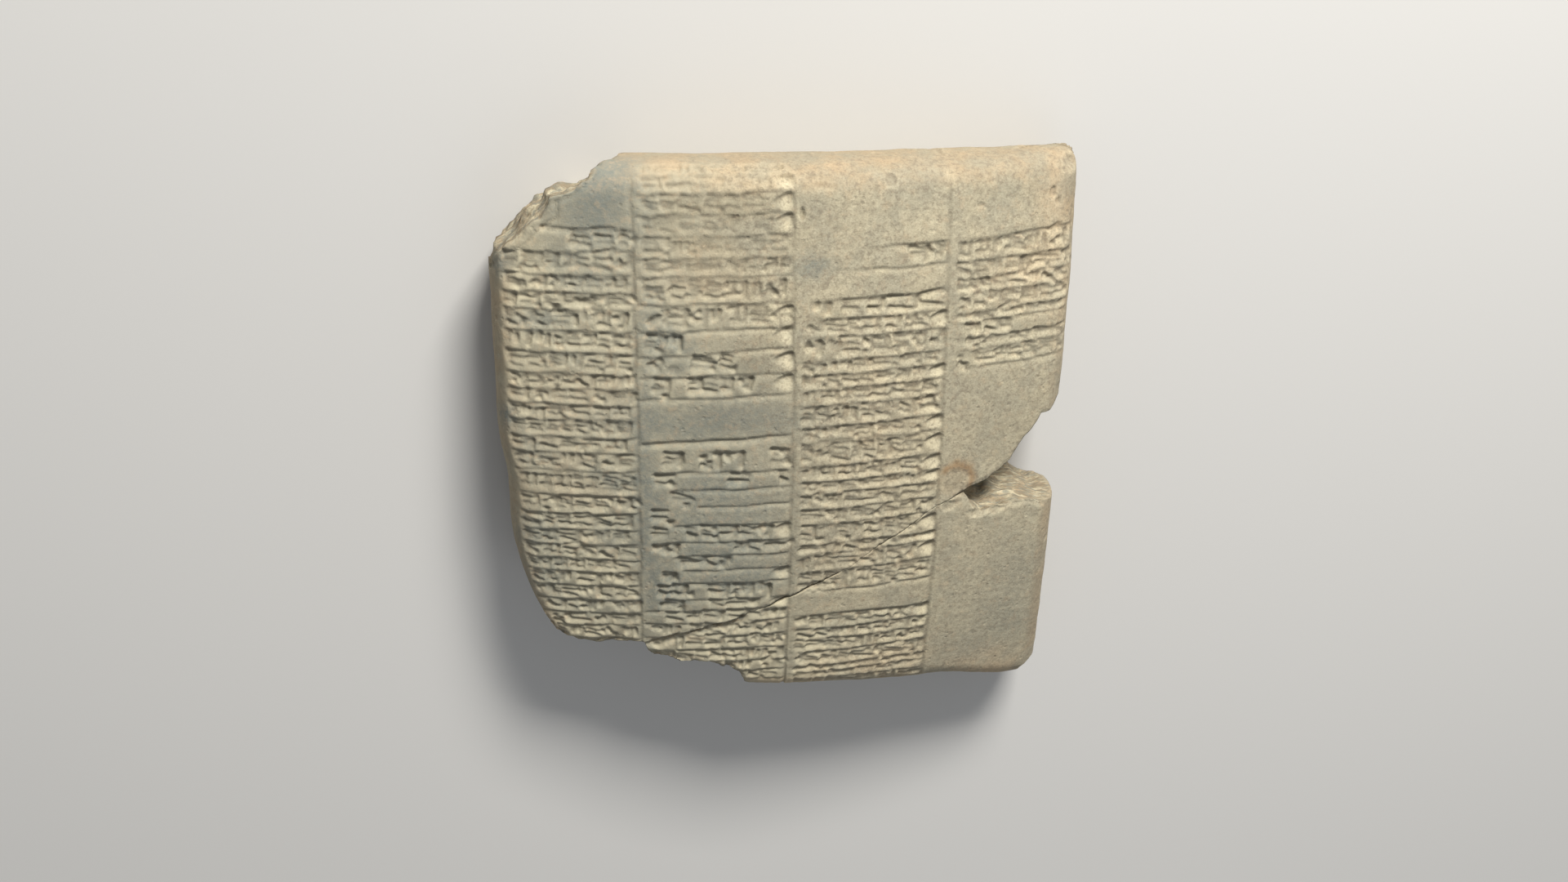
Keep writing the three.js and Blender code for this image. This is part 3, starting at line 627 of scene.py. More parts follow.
class Marks:
    """The marks to press: places, turns, sizes and which edge of the stylus makes each."""

    def __init__(self, seed):
        self.random = np.random.default_rng(seed)
        self.rows = []

    def add(self, x, y, turn, length, width, depth, tool):
        self.rows.append((x, y, turn, length, width, depth, tool))

    def groove(self, start, end, width, depth, wave, faded=False):
        """A ruled line, in short straight pieces that wander a little; a faded one starts faint."""
        (ax, ay), (bx, by) = start, end
        length = math.hypot(bx - ax, by - ay)
        if length < 1.0:
            return
        count = max(1, int(length / 3.2))
        phase = self.random.uniform(0, 6.28)
        share = np.linspace(0.0, 1.0, count + 1)
        off = wave * (np.sin(share * length / 5.1 + phase) + 0.7 * np.sin(share * length / 2.3 + 2 * phase))
        px = ax + (bx - ax) * share - (by - ay) / length * off
        py = ay + (by - ay) * share + (bx - ax) / length * off
        for k in range(count):
            reach = math.hypot(px[k + 1] - px[k], py[k + 1] - py[k])
            turn = math.atan2(py[k + 1] - py[k], px[k + 1] - px[k])
            press = depth * self.random.uniform(0.75, 1.1)
            if faded:
                press *= min(1.0, 0.3 + 1.6 * share[k])
            self.add(px[k], py[k], turn, reach + 0.25, width, press, GROOVE)

    def sign(self, x, below, width, height, sizes, strength, bold):
        """A handful of strokes in one place: bars, posts, lattices or hooks, none of them a letter."""
        random = self.random
        deep = sizes.stroke_depth / MM * strength * bold
        wide = sizes.stroke_width / MM * bold
        kind = random.choice(5, p=[0.4, 0.22, 0.12, 0.14, 0.12])

        def bar(px, py, length, turn=0.0, size=1.0):
            self.add(px, py, turn + random.normal(0, 0.1), length * random.uniform(0.85, 1.15),
                     wide * size * random.uniform(0.8, 1.2), deep * size * random.uniform(0.6, 1.2), STROKE)

        def hook(px, py):
            self.add(px, py, random.normal(0, 0.3), 0.95 * wide, 1.2 * wide,
                     deep * random.uniform(0.8, 1.2), HOOK)

        low = below + 0.16 * height
        span = 0.76 * height
        upright = -math.pi / 2
        lines = max(2, int(height / (1.65 * bold) + random.uniform(-0.3, 0.4)))
        if kind < 2:
            for k in range(lines):
                start = random.uniform(-0.08, 0.12) * width
                bar(x + start, low + span * (k + 0.5) / lines, width * random.uniform(0.85, 1.1) - start)
                if random.random() < 0.3:
                    hook(x + random.uniform(0.3, 0.9) * width, low + span * (k + 0.5) / lines)
            if kind == 1:
                bar(x + width * random.uniform(0.55, 0.95), low + 1.08 * span, 1.05 * span, upright, 1.2)
        elif kind == 2:
            for k in range(int(random.integers(2, 4))):
                bar(x + width * (0.12 + 0.34 * k), low + span * random.uniform(0.85, 1.1),
                    span * random.uniform(0.6, 1.0), upright, 1.15)
        elif kind == 3:
            bar(x, low + 0.72 * span, 0.95 * width)
            bar(x + 0.06 * width, low + 0.2 * span, 0.85 * width)
            for k in range(2):
                bar(x + width * (0.3 + 0.42 * k), low + 1.02 * span,
                    span * random.uniform(0.7, 1.0), upright, 1.1)
        else:
            for k in range(int(random.integers(1, 4))):
                hook(x + width * (0.08 + 0.27 * k), low + span * random.uniform(0.2, 0.8))
            bar(x + 0.15 * width, low + random.uniform(0.1, 0.9) * span,
                0.7 * width, random.uniform(-0.6, 0.6), 1.1)
            bar(x + 0.85 * width, low + 1.05 * span, span, upright, 1.2)

    def last_stroke(self, x, below, height, sizes):
        """The large stroke that closes a row, wide to the right."""
        tall = min(5.2, 0.95 * height)
        self.add(x - 6.6, below + 0.46 * height, 0.08, 6.4, tall, sizes.end_depth / MM, LAST)


def strip_limits(left, right, y):
    left = max(left, LEFT_STRIP - float(side_reach(-1.0, y)))
    return left, min(right, float(side_reach(1.0, y)) - RIGHT_STRIP)


def write_columns(marks, columns, sizes, strength, density):
    """The rulings and rows of strokes of one side."""
    random = marks.random
    deep = sizes.ruling_depth / MM * strength
    wide = sizes.ruling_width / MM
    for left_limit, right_limit, head, rows in columns:
        above_left = above_right = head
        for below_left, below_right, spans, ruled, ends in rows:
            middle = 0.5 * (below_left + below_right)
            left, right = strip_limits(left_limit, right_limit, middle)

            def level(x, at_left=below_left, at_right=below_right):
                return at_left + (at_right - at_left) * (x - left_limit) / (right_limit - left_limit)

            first = left + ruled[0] * (right - left)
            final = left + ruled[1] * (right - left)
            plain = 1.0 if not spans else 0.72
            marks.groove((first + 0.8, level(first)), (final - 0.3, level(final)), wide * plain, deep * plain,
                         0.13 if not spans else 0.2, faded=left_limit > -10)
            height = 0.5 * (above_left + above_right) - middle
            bold = 1.0 if spans == FULL else 1.25
            start = left + (1.0 if left_limit < COLUMN_LINES[0] - 1 else 2.4)
            stop = right - 1.0
            if ends:
                marks.last_stroke(right, level(right), height, sizes)
                stop -= 5.6
            for share_from, share_to in spans:
                x = start + share_from * (stop - start)
                limit = start + share_to * (stop - start)
                while x < limit - 2.2:
                    width = min(random.uniform(3.4, 7.6) * bold, limit - x)
                    if random.random() < density:
                        marks.sign(x, level(x + width / 2), width, min(height, 7.4), sizes, strength, bold)
                    x += width * random.uniform(0.92, 1.02)
            above_left, above_right = below_left, below_right


def lay_marks(sizes):
    """All marks of the face, and those of the back beside them."""
    marks = Marks(sizes.seed)
    write_columns(marks, COLUMNS, sizes, 1.0, 1.0)
    column_deep = sizes.column_line_depth / MM
    for x in COLUMN_LINES:
        for low, high in ((-84.0, -44.0), (-44.0, 0.0), (0.0, 44.0), (44.0, 88.5)):
            marks.groove((x, high), (x + marks.random.uniform(-0.2, 0.2), low), 1.7, column_deep, 0.1)
    front = len(marks.rows)
    write_columns(marks, BACK_COLUMNS, sizes, 0.62, 0.55)
    for x in COLUMN_LINES:
        marks.groove((x, 74.5), (x, -74.5), 2.0, 0.75 * column_deep, 0.2)
    rows = np.array(marks.rows)
    rows[:, 0:2] *= MM
    rows[:, 3:6] *= MM
    rows[front:, 0] += BACK_SHIFT
    mesh = bpy.data.meshes.new("marks")
    mesh.vertices.add(len(rows))
    places = np.column_stack([rows[:, :2], np.zeros(len(rows))])
    mesh.vertices.foreach_set("co", places.astype(np.float32).ravel())
    number_attribute(mesh, "turn", rows[:, 2])
    number_attribute(mesh, "tool", rows[:, 6])
    size = mesh.attributes.new("size", "FLOAT_VECTOR", "POINT")
    size.data.foreach_set("vector", rows[:, 3:6].astype(np.float32).ravel())
    return mesh


def lofted(sections):
    """Points and faces of a shape drawn through sections, given as (x, ((y, z), ...))."""
    width = len(sections[0][1])
    points = [(x, y, z) for x, profile in sections for y, z in profile]
    faces = []
    for k in range(len(sections) - 1):
        for n in range(width - 1):
            a = k * width + n
            faces += [(a, a + 1, a + width), (a + 1, a + width + 1, a + width)]
    return points, faces


def stylus_tools():
    """The shapes that the stylus leaves, one unit long, wide and deep, hanging below z = 0."""
    stroke = (
        (0.0, ((0.5, 0.0), (0.3, -0.02), (0.0, -0.02), (-0.5, 0.0))),
        (0.1, ((0.5, 0.0), (0.4, -1.0), (0.0, -0.5), (-0.5, 0.0))),
        (0.45, ((0.43, 0.0), (0.34, -0.84), (0.0, -0.4), (-0.43, 0.0))),
        (0.93, ((0.32, 0.0), (0.24, -0.6), (0.0, -0.28), (-0.32, 0.0))),
        (1.06, ((0.12, 0.0), (0.08, 0.0), (0.0, 0.0), (-0.12, 0.0))),
    )
    ruled = tuple((x, ((0.15, 0.0), (0.04, -1.0), (-0.24, -0.5), (-0.8, 0.0))) for x in (0.0, 1.0))
    last = (
        (0.0, ((0.16, 0.0), (0.12, 0.0), (0.06, 0.0), (0.0, 0.0))),
        (0.35, ((0.36, 0.0), (0.32, -0.6), (0.03, -0.34), (-0.3, 0.0))),
        (0.75, ((0.5, 0.0), (0.46, -1.0), (0.0, -0.56), (-0.5, 0.0))),
        (0.97, ((0.5, 0.0), (0.45, -0.9), (0.0, -0.52), (-0.48, 0.0))),
        (1.06, ((0.3, 0.0), (0.2, 0.0), (0.0, 0.0), (-0.4, 0.0))),
    )
    shapes = {
        "stroke_edge": lofted(stroke),
        "stroke_hook": (
            ((0.0, 0.0, 0.0), (1.0, 0.5, 0.0), (1.0, -0.5, 0.0), (0.5, 0.05, -1.0), (1.05, 0.0, -0.2)),
            ((0, 3, 1), (0, 2, 3), (1, 3, 4), (4, 3, 2), (0, 1, 4), (0, 4, 2))),
        "ruled_edge": lofted(ruled),
        "last_edge": lofted(last),
    }
    made = []
    for name, (corners, faces) in shapes.items():
        mesh = bpy.data.meshes.new(name)
        mesh.from_pydata(corners, [], faces)
        made.append(link_object(name, mesh))
    return made


def add_node(tree, kind, inputs=None, **settings):
    """A node with its settings, whose inputs are linked or set."""
    made = tree.nodes.new(kind)
    for name, value in settings.items():
        setattr(made, name, value)
    for key, value in (inputs or {}).items():
        if isinstance(value, bpy.types.NodeSocket):
            tree.links.new(value, made.inputs[key])
        else:
            made.inputs[key].default_value = value
    return made


def new_tree(name, kind, inputs, outputs):
    """A node group with its input and output nodes; the sockets are listed as (kind, name, name ...)."""
    tree = bpy.data.node_groups.new(name, kind)
    for direction, sockets in (("INPUT", inputs), ("OUTPUT", outputs)):
        for socket_kind, *socket_names in sockets:
            for socket_name in socket_names:
                tree.interface.new_socket(
                    socket_name, in_out=direction, socket_type="NodeSocket" + socket_kind)
    return tree, tree.nodes.new("NodeGroupInput"), tree.nodes.new("NodeGroupOutput")


def maths(tree, operation, first, second, clamp=False):
    made = add_node(tree, "ShaderNodeMath", {0: first, 1: second}, operation=operation, use_clamp=clamp)
    return made.outputs[0]


def times(tree, first, second, clamp=False):
    return maths(tree, "MULTIPLY", first, second, clamp)


def plus(tree, first, second):
    return maths(tree, "ADD", first, second)


def named(tree, name, kind="FLOAT"):
    return add_node(tree, "GeometryNodeInputNamedAttribute", {"Name": name}, data_type=kind).outputs[0]


def stored(tree, flow, name, value):
    return add_node(tree, "GeometryNodeStoreNamedAttribute", {
        "Geometry": flow, "Name": name, "Value": value}, data_type="FLOAT").outputs[0]


def blurred(tree, value, rounds, kind="FLOAT"):
    return add_node(tree, "GeometryNodeBlurAttribute", {
        "Value": value, "Iterations": rounds}, data_type=kind).outputs[0]


def dressed(tree, flow, material, result):
    """Ends a tree: instances made real, and the material set."""
    whole = add_node(tree, "GeometryNodeRealizeInstances", {"Geometry": flow})
    finished = add_node(tree, "GeometryNodeSetMaterial", {"Geometry": whole.outputs[0], "Material": material})
    tree.links.new(finished.outputs[0], result.inputs[0])


def press_tree():
    """Presses the marks into the form: rays from below find the deepest mark over each point."""
    tree, given, result = new_tree("Press marks", "GeometryNodeTree", (
        ("Geometry", "Geometry"), ("Object", "Marks", "Stroke", "Hook", "Ruled line", "Last stroke"),
        ("Int", "Softness"), ("Float", "Crispness", "Shoulders", "Rim", "Back shift"),
        ("Material", "Material"),
    ), (("Geometry", "Geometry"),))
    marks = add_node(tree, "GeometryNodeObjectInfo", {"Object": given.outputs["Marks"]})
    tool = named(tree, "tool")
    turn = add_node(tree, "ShaderNodeCombineXYZ", {"Z": named(tree, "turn")}).outputs[0]
    size = named(tree, "size", "FLOAT_VECTOR")
    joined = tree.nodes.new("GeometryNodeJoinGeometry")
    for number, name in enumerate(("Stroke", "Hook", "Ruled line", "Last stroke")):
        shape = add_node(tree, "GeometryNodeObjectInfo", {"Object": given.outputs[name], "As Instance": True})
        chosen = add_node(tree, "FunctionNodeCompare", {0: tool, 1: float(number), "Epsilon": 0.1},
                          data_type="FLOAT", operation="EQUAL")
        placed = add_node(tree, "GeometryNodeInstanceOnPoints", {
            "Points": marks.outputs["Geometry"], "Selection": chosen.outputs[0],
            "Instance": shape.outputs["Geometry"], "Rotation": turn, "Scale": size})
        tree.links.new(placed.outputs[0], joined.inputs[0])
    stamps = add_node(tree, "GeometryNodeRealizeInstances", {"Geometry": joined.outputs[0]})
    place = add_node(tree, "GeometryNodeInputPosition").outputs[0]
    place = add_node(tree, "ShaderNodeSeparateXYZ", {0: place})
    shift = times(tree, named(tree, "on_back"), given.outputs["Back shift"])
    across = plus(tree, plus(tree, place.outputs["X"], shift), named(tree, "further_x"))
    along = plus(tree, place.outputs["Y"], named(tree, "further_y"))
    source = add_node(tree, "ShaderNodeCombineXYZ", {"X": across, "Y": along, "Z": -0.05})
    ray = add_node(tree, "GeometryNodeRaycast", {
        "Target Geometry": stamps.outputs[0], "Source Position": source.outputs[0],
        "Ray Direction": (0.0, 0.0, 1.0), "Ray Length": 0.1})
    height = add_node(tree, "ShaderNodeSeparateXYZ", {0: ray.outputs["Hit Position"]}).outputs["Z"]
    found = times(tree, times(tree, height, -1.0), ray.outputs["Is Hit"])
    found = times(tree, maths(tree, "MAXIMUM", found, 0.0), named(tree, "firmness"))
    sharp = stored(tree, given.outputs["Geometry"], "pressed", found)
    soft = blurred(tree, named(tree, "pressed"), given.outputs["Softness"])
    sunk = blurred(tree, named(tree, "pressed"), SHOULDER_ROUNDS)
    sunk = times(tree, sunk, given.outputs["Shoulders"])
    soft = plus(tree, times(tree, soft, given.outputs["Crispness"]), sunk)
    softened = stored(tree, sharp, "pressed", soft)
    swollen = stored(tree, softened, "swollen", blurred(tree, named(tree, "pressed"), SWELL_ROUNDS))
    raised = times(tree, named(tree, "swollen"), given.outputs["Rim"])
    offset = maths(tree, "SUBTRACT", raised, named(tree, "pressed"))
    normal = add_node(tree, "GeometryNodeInputNormal").outputs[0]
    move = add_node(tree, "ShaderNodeVectorMath", {0: normal, "Scale": offset}, operation="SCALE")
    moved = add_node(tree, "GeometryNodeSetPosition", {"Geometry": swollen, "Offset": move.outputs[0]})
    place = add_node(tree, "GeometryNodeInputPosition").outputs[0]
    round_about = blurred(tree, place, BEND_ROUNDS, "FLOAT_VECTOR")
    apart = add_node(tree, "ShaderNodeVectorMath", {0: round_about, 1: place}, operation="SUBTRACT")
    normal = add_node(tree, "GeometryNodeInputNormal").outputs[0]
    bend = add_node(tree, "ShaderNodeVectorMath", {0: apart.outputs[0], 1: normal}, operation="DOT_PRODUCT")
    curved = stored(tree, moved.outputs[0], "bend", bend.outputs["Value"])
    dressed(tree, curved, given.outputs["Material"], result)
    return tree


def weather_tree():
    """Reads the unbroken surface next to each point: how deep it was pressed and how far inside it lies."""
    tree, given, result = new_tree("Read the unbroken skin", "GeometryNodeTree", (
        ("Geometry", "Geometry"), ("Object", "Unbroken"), ("Float", "Skin", "Inside"),
        ("Material", "Material"),
    ), (("Geometry", "Geometry"),))
    skin = add_node(tree, "GeometryNodeObjectInfo", {"Object": given.outputs["Unbroken"]}).outputs["Geometry"]
    flow = given.outputs["Geometry"]
    for name in ("pressed", "swollen", "bend"):
        sample = add_node(tree, "GeometryNodeSampleNearestSurface", {
            "Mesh": skin, "Value": named(tree, name)}, data_type="FLOAT")
        flow = stored(tree, flow, name, sample.outputs[0])
    near = add_node(tree, "GeometryNodeProximity", {0: skin}, target_element="FACES")
    depth = add_node(tree, "ShaderNodeMapRange", {
        "Value": near.outputs["Distance"], "From Min": given.outputs["Skin"],
        "From Max": given.outputs["Inside"]}, interpolation_type="SMOOTHSTEP")
    flow = stored(tree, flow, "broken", depth.outputs[0])
    dressed(tree, flow, given.outputs["Material"], result)
    return tree


def use_tree(made, tree, values):
    """Puts a node tree on an object, with its inputs set by the sockets' identifiers."""
    modifier = made.modifiers.new(tree.name, "NODES")
    modifier.node_group = tree
    for item in tree.interface.items_tree:
        if item.item_type == "SOCKET" and item.in_out == "INPUT" and item.name in values:
            modifier[item.identifier] = values[item.name]


def fine_outline(coarse, step):
    """An outline with short steps along the breaks: places, outward directions, leans and roughness."""
    count = len(coarse)
    out = []
    for k, (x, y, lean, under, rough, side) in enumerate(coarse):
        before = coarse[(k - 1) % count]
        after = coarse[(k + 1) % count]
        along = np.array([after[0] - before[0], after[1] - before[1]])
        along /= np.linalg.norm(along)
        direction = np.array(side) if side else np.array([along[1], -along[0]])
        out.append(np.array([x, y, *direction, lean, under, rough], dtype=float))
    fine = []
    for k in range(count):
        here = out[k]
        following = out[(k + 1) % count]
        length = np.hypot(*(following[:2] - here[:2]))
        rough = here[6] > 0 or following[6] > 0
        pieces = max(1, int(length / step)) if rough else 1
        for n in range(pieces):
            fine.append(here + (following - here) * n / pieces)
    return np.array(fine)


def break_prism(name, coarse, seed):
    """A tall closed prism over a fragment's plan, with rough layered walls where it broke."""
    ring = fine_outline(coarse, WALL_STEP)
    heights = np.arange(LEVELS[0], LEVELS[-1] + WALL_STEP, WALL_STEP)
    shares = np.interp(heights, LEVELS, LEAN_SHARES)
    count = len(ring)
    x = np.tile(ring[:, 0], (len(heights), 1))
    y = np.tile(ring[:, 1], (len(heights), 1))
    z = np.repeat(heights[:, None], count, axis=1)
    places = np.stack([x.ravel(), y.ravel(), z.ravel()], axis=1)
    rough = layered_noise(places, ((11, 0.75), (4.5, 0.5), (2.0, 0.26), (1.0, 0.12)), seed)
    rough += layered_noise(places, (((9, 9, 1.7), 0.34), ((5, 5, 0.9), 0.16)), seed + 3)
    rough = rough.reshape(len(heights), count) * ring[:, 6]
    drawn_in = np.interp(heights, LEVELS, UNDER_SHARES)[:, None] * ring[:, 5]
    push = shares[:, None] * ring[:, 4] - drawn_in + rough
    x += ring[:, 2] * push
    y += ring[:, 3] * push
    points = np.stack([x.ravel(), y.ravel(), z.ravel()], axis=1)
    index = np.arange(len(points)).reshape(len(heights), count)
    following = np.roll(index, -1, axis=1)
    corners = (index[:-1], following[:-1], following[1:], index[1:])
    walls = np.stack([corner.ravel() for corner in corners], axis=1)
    mesh = bpy.data.meshes.new(name)
    faces = walls.tolist() + [index[-1].tolist(), index[0][::-1].tolist()]
    mesh.from_pydata((points * MM).tolist(), [], faces)
    return link_object(name, mesh)


def rough_line(line, rough):
    return [(x, y, lean, under, rough, None) for x, y, lean, under in line]


def far_corner(x, y):
    return (x, y, 0.0, 0.0, 0.0, None)


def join_line(towards_foot):
    """The join, moved half the gap to one fragment's side; both fragments have the same rough wall."""
    sx, sy = JOIN_SIDE
    half = -towards_foot * JOIN_GAP / 2
    side = (sx, sy) if towards_foot < 0 else (-sx, -sy)
    return [(x + sx * half, y + sy * half, 0.0, 0.0, 0.45, side) for x, y in JOIN]


def main_outline():
    edge = HEAD_BREAK[-1][1]
    return [
        far_corner(OUTSIDE, OUTSIDE), far_corner(HEAD_BREAK[0][0], OUTSIDE),
        *rough_line(HEAD_BREAK, 1.7),
        far_corner(-OUTSIDE, edge), far_corner(-OUTSIDE, LEFT_FOOT_BREAK[0][1]),
        *rough_line(LEFT_FOOT_BREAK, 1.5),
        *join_line(1),
        *rough_line(NOTCH_ABOVE, 0.8),
        far_corner(OUTSIDE, NOTCH_ABOVE[-1][1]),
    ]


def foot_outline():
    return [
        far_corner(OUTSIDE, NOTCH_BELOW[-1][1]),
        *reversed(rough_line(NOTCH_BELOW, 1.3)),
        *reversed(join_line(-1)),
        *reversed(rough_line(TIP_BREAK, 1.4)),
        far_corner(TIP_BREAK[0][0], -OUTSIDE), far_corner(OUTSIDE, -OUTSIDE),
    ]


def wear_arris(points, lines, seed):
    """Rubs and chips the edge of the face along the breaks: (line, reach, bite) in millimetres."""
    x, y = points[:, 0], points[:, 1]
    top = smooth((points[:, 2] - 12.0) / 6.0)
    uneven = 0.5 + 0.5 * layered_noise(points, ((6.5, 0.7), (2.6, 0.5), (1.1, 0.2)), seed)
    for line, reach, bite in lines:
        near = distance_to_line(x, y, line)
        local = reach * (0.35 + uneven)
        share = np.clip(1.0 - near / np.maximum(local, 0.05), 0.0, 1.0)
        points[:, 2] -= top * bite * (0.3 + 0.7 * uneven) * share ** 1.6
    return points


def largest_body(mesh):
    """Keeps the largest connected body of a mesh and drops crumbs."""
    edges = np.empty(len(mesh.edges) * 2, dtype=np.int32)
    mesh.edges.foreach_get("vertices", edges)
    edges = edges.reshape(-1, 2)
    label = np.arange(len(mesh.vertices))
    while True:
        lower = np.minimum(label[edges[:, 0]], label[edges[:, 1]])
        np.minimum.at(label, edges[:, 0], lower)
        np.minimum.at(label, edges[:, 1], lower)
        label = label[label]
        if np.array_equal(label[edges[:, 0]], label[edges[:, 1]]):
            break
    names, counts = np.unique(label, return_counts=True)
    if len(names) == 1:
        return mesh
    keep = label == names[np.argmax(counts)]
    corners = np.empty(len(mesh.loops), dtype=np.int32)
    mesh.loops.foreach_get("vertex_index", corners)
    faces = corners.reshape(-1, 3)
    faces = faces[keep[faces[:, 0]]]
    renumber = np.cumsum(keep) - 1
    made = mesh_from(mesh.name, points_of(mesh)[keep], renumber[faces])
    bpy.data.meshes.remove(mesh)
    return made


def roughen_breaks(mesh, seed):
    """Crumbly relief on the broken walls, away from the skin and from the join."""
    points = points_of(mesh)
    x, y, z = points[:, 0], points[:, 1], points[:, 2]
    inside = np.minimum(face_height(x, y) - z, z - back_height(x, y))
    inside = np.minimum(inside, side_reach(x, y) - np.abs(x))
    inside = np.minimum(inside, end_reach(x, y) - np.abs(y))
    share = smooth((inside - 1.7) / 1.5) * smooth((distance_to_line(x, y, JOIN) - 0.8) / 1.5)
    bumps = layered_noise(points, (((6, 6, 4), 0.75), ((3, 3, 1.6), 0.5), (1.6, 0.3), (0.9, 0.16)), seed)
    ledges = layered_noise(points, (((14, 14, 2.2), 1.0),), seed + 8)
    bumps += 0.55 * np.tanh(5.0 * ledges)
    set_points(mesh, points + normals_of(mesh) * (share * (bumps - 0.3))[:, None])


def make_fragment(name, coarse, worn_lines, limit, material):
    """Cuts one fragment from the unbroken tablet, thins its mesh and reads its skin."""
    unbroken = bpy.data.objects["unbroken_tablet"]
    blank = unbroken.data.copy()
    set_points(blank, wear_arris(points_of(blank), worn_lines, BREAK_SEED))
    cut = link_object(name + "_cut", blank)
    prism = break_prism(name + "_plan", coarse, BREAK_SEED)
    boolean = cut.modifiers.new("Break", "BOOLEAN")
    boolean.operation = "INTERSECT"
    boolean.solver = "MANIFOLD"
    boolean.object = prism
    cut.modifiers.new("Faces", "TRIANGULATE")
    broken = largest_body(baked(cut, name + "_broken"))
    drop_object(cut)
    drop_object(prism)
    roughen_breaks(broken, BREAK_SEED)
    thinned = link_object(name + "_thinned", broken)
    thin = thinned.modifiers.new("Thin", "DECIMATE")
    thin.ratio = min(1.0, limit / len(broken.polygons))
    use_tree(thinned, bpy.data.node_groups.get("Read the unbroken skin") or weather_tree(), {
        "Unbroken": unbroken, "Skin": 0.00025, "Inside": 0.0011, "Material": material})
    mesh = baked(thinned, name + "_clay")
    drop_object(thinned)
    mesh.polygons.foreach_set("use_smooth", np.ones(len(mesh.polygons), dtype=bool))
    if not mesh.materials:
        mesh.materials.append(material)
    tint(mesh)
    if len(mesh.polygons) < 1000:
        raise RuntimeError(f"{name}: the break left almost nothing")
    return link_object(name + "_clay", mesh)


def last_faces():
    """Patches of painted highlight over the smooth lower faces of the large last strokes."""
    faces = []
    for left_limit, right_limit, head, rows in COLUMNS:
        above = head
        for _, below, _, _, ends in rows:
            if ends:
                right = strip_limits(left_limit, right_limit, below)[1]
                height = above - below
                faces.append((right - 2.2, below + 0.36 * height, 2.0, 0.2 + 0.27 * height, 0.9))
            above = below
    return faces


def tint(mesh):
    """Stores how grey, tan and speckled the clay is at each point, how crowded the writing is, and the
    painted shade and highlights: shade where the strokes crowd, along the head edge and in the recesses,
    highlights on crests, on the walls facing the head and key light, and on the last strokes.
    """
    points = points_of(mesh)
    x, y, z = points[:, 0], points[:, 1], points[:, 2]
    wander, stray = (layered_noise(points, WANDER_LAYERS, seed) for seed in WANDER_SEEDS)
    top = smooth((z / np.maximum(dome_height(x, y), 1.0) - 0.45) / 0.3)
    grey = patches(x + wander, y + stray, GREY_AND_GAP_SHADE_PATCHES)
    under = 0.45 * smooth(0.2 + layered_noise(points, ((30, 0.7), (12, 0.35)), 55))
    grey = grey * top + (1.0 - top) * under
    side = smooth((edge_share(x, y) - 0.05) / 0.5)
    warm = np.maximum(patches(x + stray, y + wander, TAN_PATCHES) * top, 0.45 * side)
    speckled = smooth((x + 0.25 * y + 26.0 + 3 * wander) / 34.0) * top + 0.55 * (1.0 - top)
    pressed = read_attribute(mesh, "pressed") / MM
    bend = read_attribute(mesh, "bend") / MM
    number_attribute(mesh, "grey", np.clip(grey, 0.0, 1.0))
    number_attribute(mesh, "warm", np.clip(warm, 0.0, 1.0))
    # The turned edges: tan clay, and painted shade where the material darkens them.
    number_attribute(mesh, "side", side)
    number_attribute(mesh, "speckled", speckled)
    # Darker where the strokes crowd, partly painted shade of their recesses, and in the dusky patches.
    crowd = np.maximum(smooth(read_attribute(mesh, "swollen") / MM / 0.42), patches(x, y, DUSK_AND_SHADE_PATCHES))
    number_attribute(mesh, "written", crowd * top)
    # Painted shade: darker in the concave recesses, and a little wherever the clay is pressed.
    number_attribute(mesh, "hollow_shade", np.clip(bend / 0.2, 0.0, 1.0) + 0.15 * np.clip(pressed, 0.0, 1.0))
    # Painted highlight: convex crests and the walls inside the strokes that face the head, towards the key
    # light, are made lighter.
    slope = dome_height(x, y + 0.5) - dome_height(x, y - 0.5)
    facing = normals_of(mesh)[:, 1] + slope / np.sqrt(1.0 + slope ** 2)
    head_facing_highlight = np.clip(facing / 0.4, 0.0, 1.0) * smooth(pressed / 0.25) * top
    highlit = 1.0 - patches(x, y, DULL_PATCHES)
    number_attribute(mesh, "crest_highlight", highlit * np.maximum(np.clip(-bend / 0.16, 0.0, 1.0), head_facing_highlight))
    # Painted highlight on the lower faces of the large last strokes.
    number_attribute(mesh, "end_highlight", patches(x, y, last_faces()) * top)
    ring = np.hypot((x - RING_PLACE[0]) / RING_REACH[0], (y - RING_PLACE[1]) / RING_REACH[1]) + 0.14 * wander
    arc = np.exp(-((ring - 1.0) / 0.2) ** 2) * smooth((x + y - 37.0 + 2.0 * stray) / 8.0)
    number_attribute(mesh, "ring", top * np.clip(arc + 0.2 * smooth((1.0 - ring) / 0.3), 0.0, 1.0))


def shader_noise(tree, place, size_mm, detail=3.0, roughness=0.55):
    made = add_node(tree, "ShaderNodeTexNoise", {
        "Vector": place, "Scale": 1.0 / (size_mm * MM), "Detail": detail, "Roughness": roughness})
    return made.outputs["Fac"]


def mapped(tree, value, low, high, to_low=0.0, to_high=1.0):
    return add_node(tree, "ShaderNodeMapRange", {
        "Value": value, "From Min": low, "From Max": high, "To Min": to_low, "To Max": to_high},
        interpolation_type="SMOOTHSTEP").outputs[0]


def mixed(tree, share, first, second):
    """Two colours mixed; the sockets numbered 6 and 7 are those of the colours."""
    return add_node(tree, "ShaderNodeMix", {0: share, 6: first, 7: second}, data_type="RGBA").outputs[2]


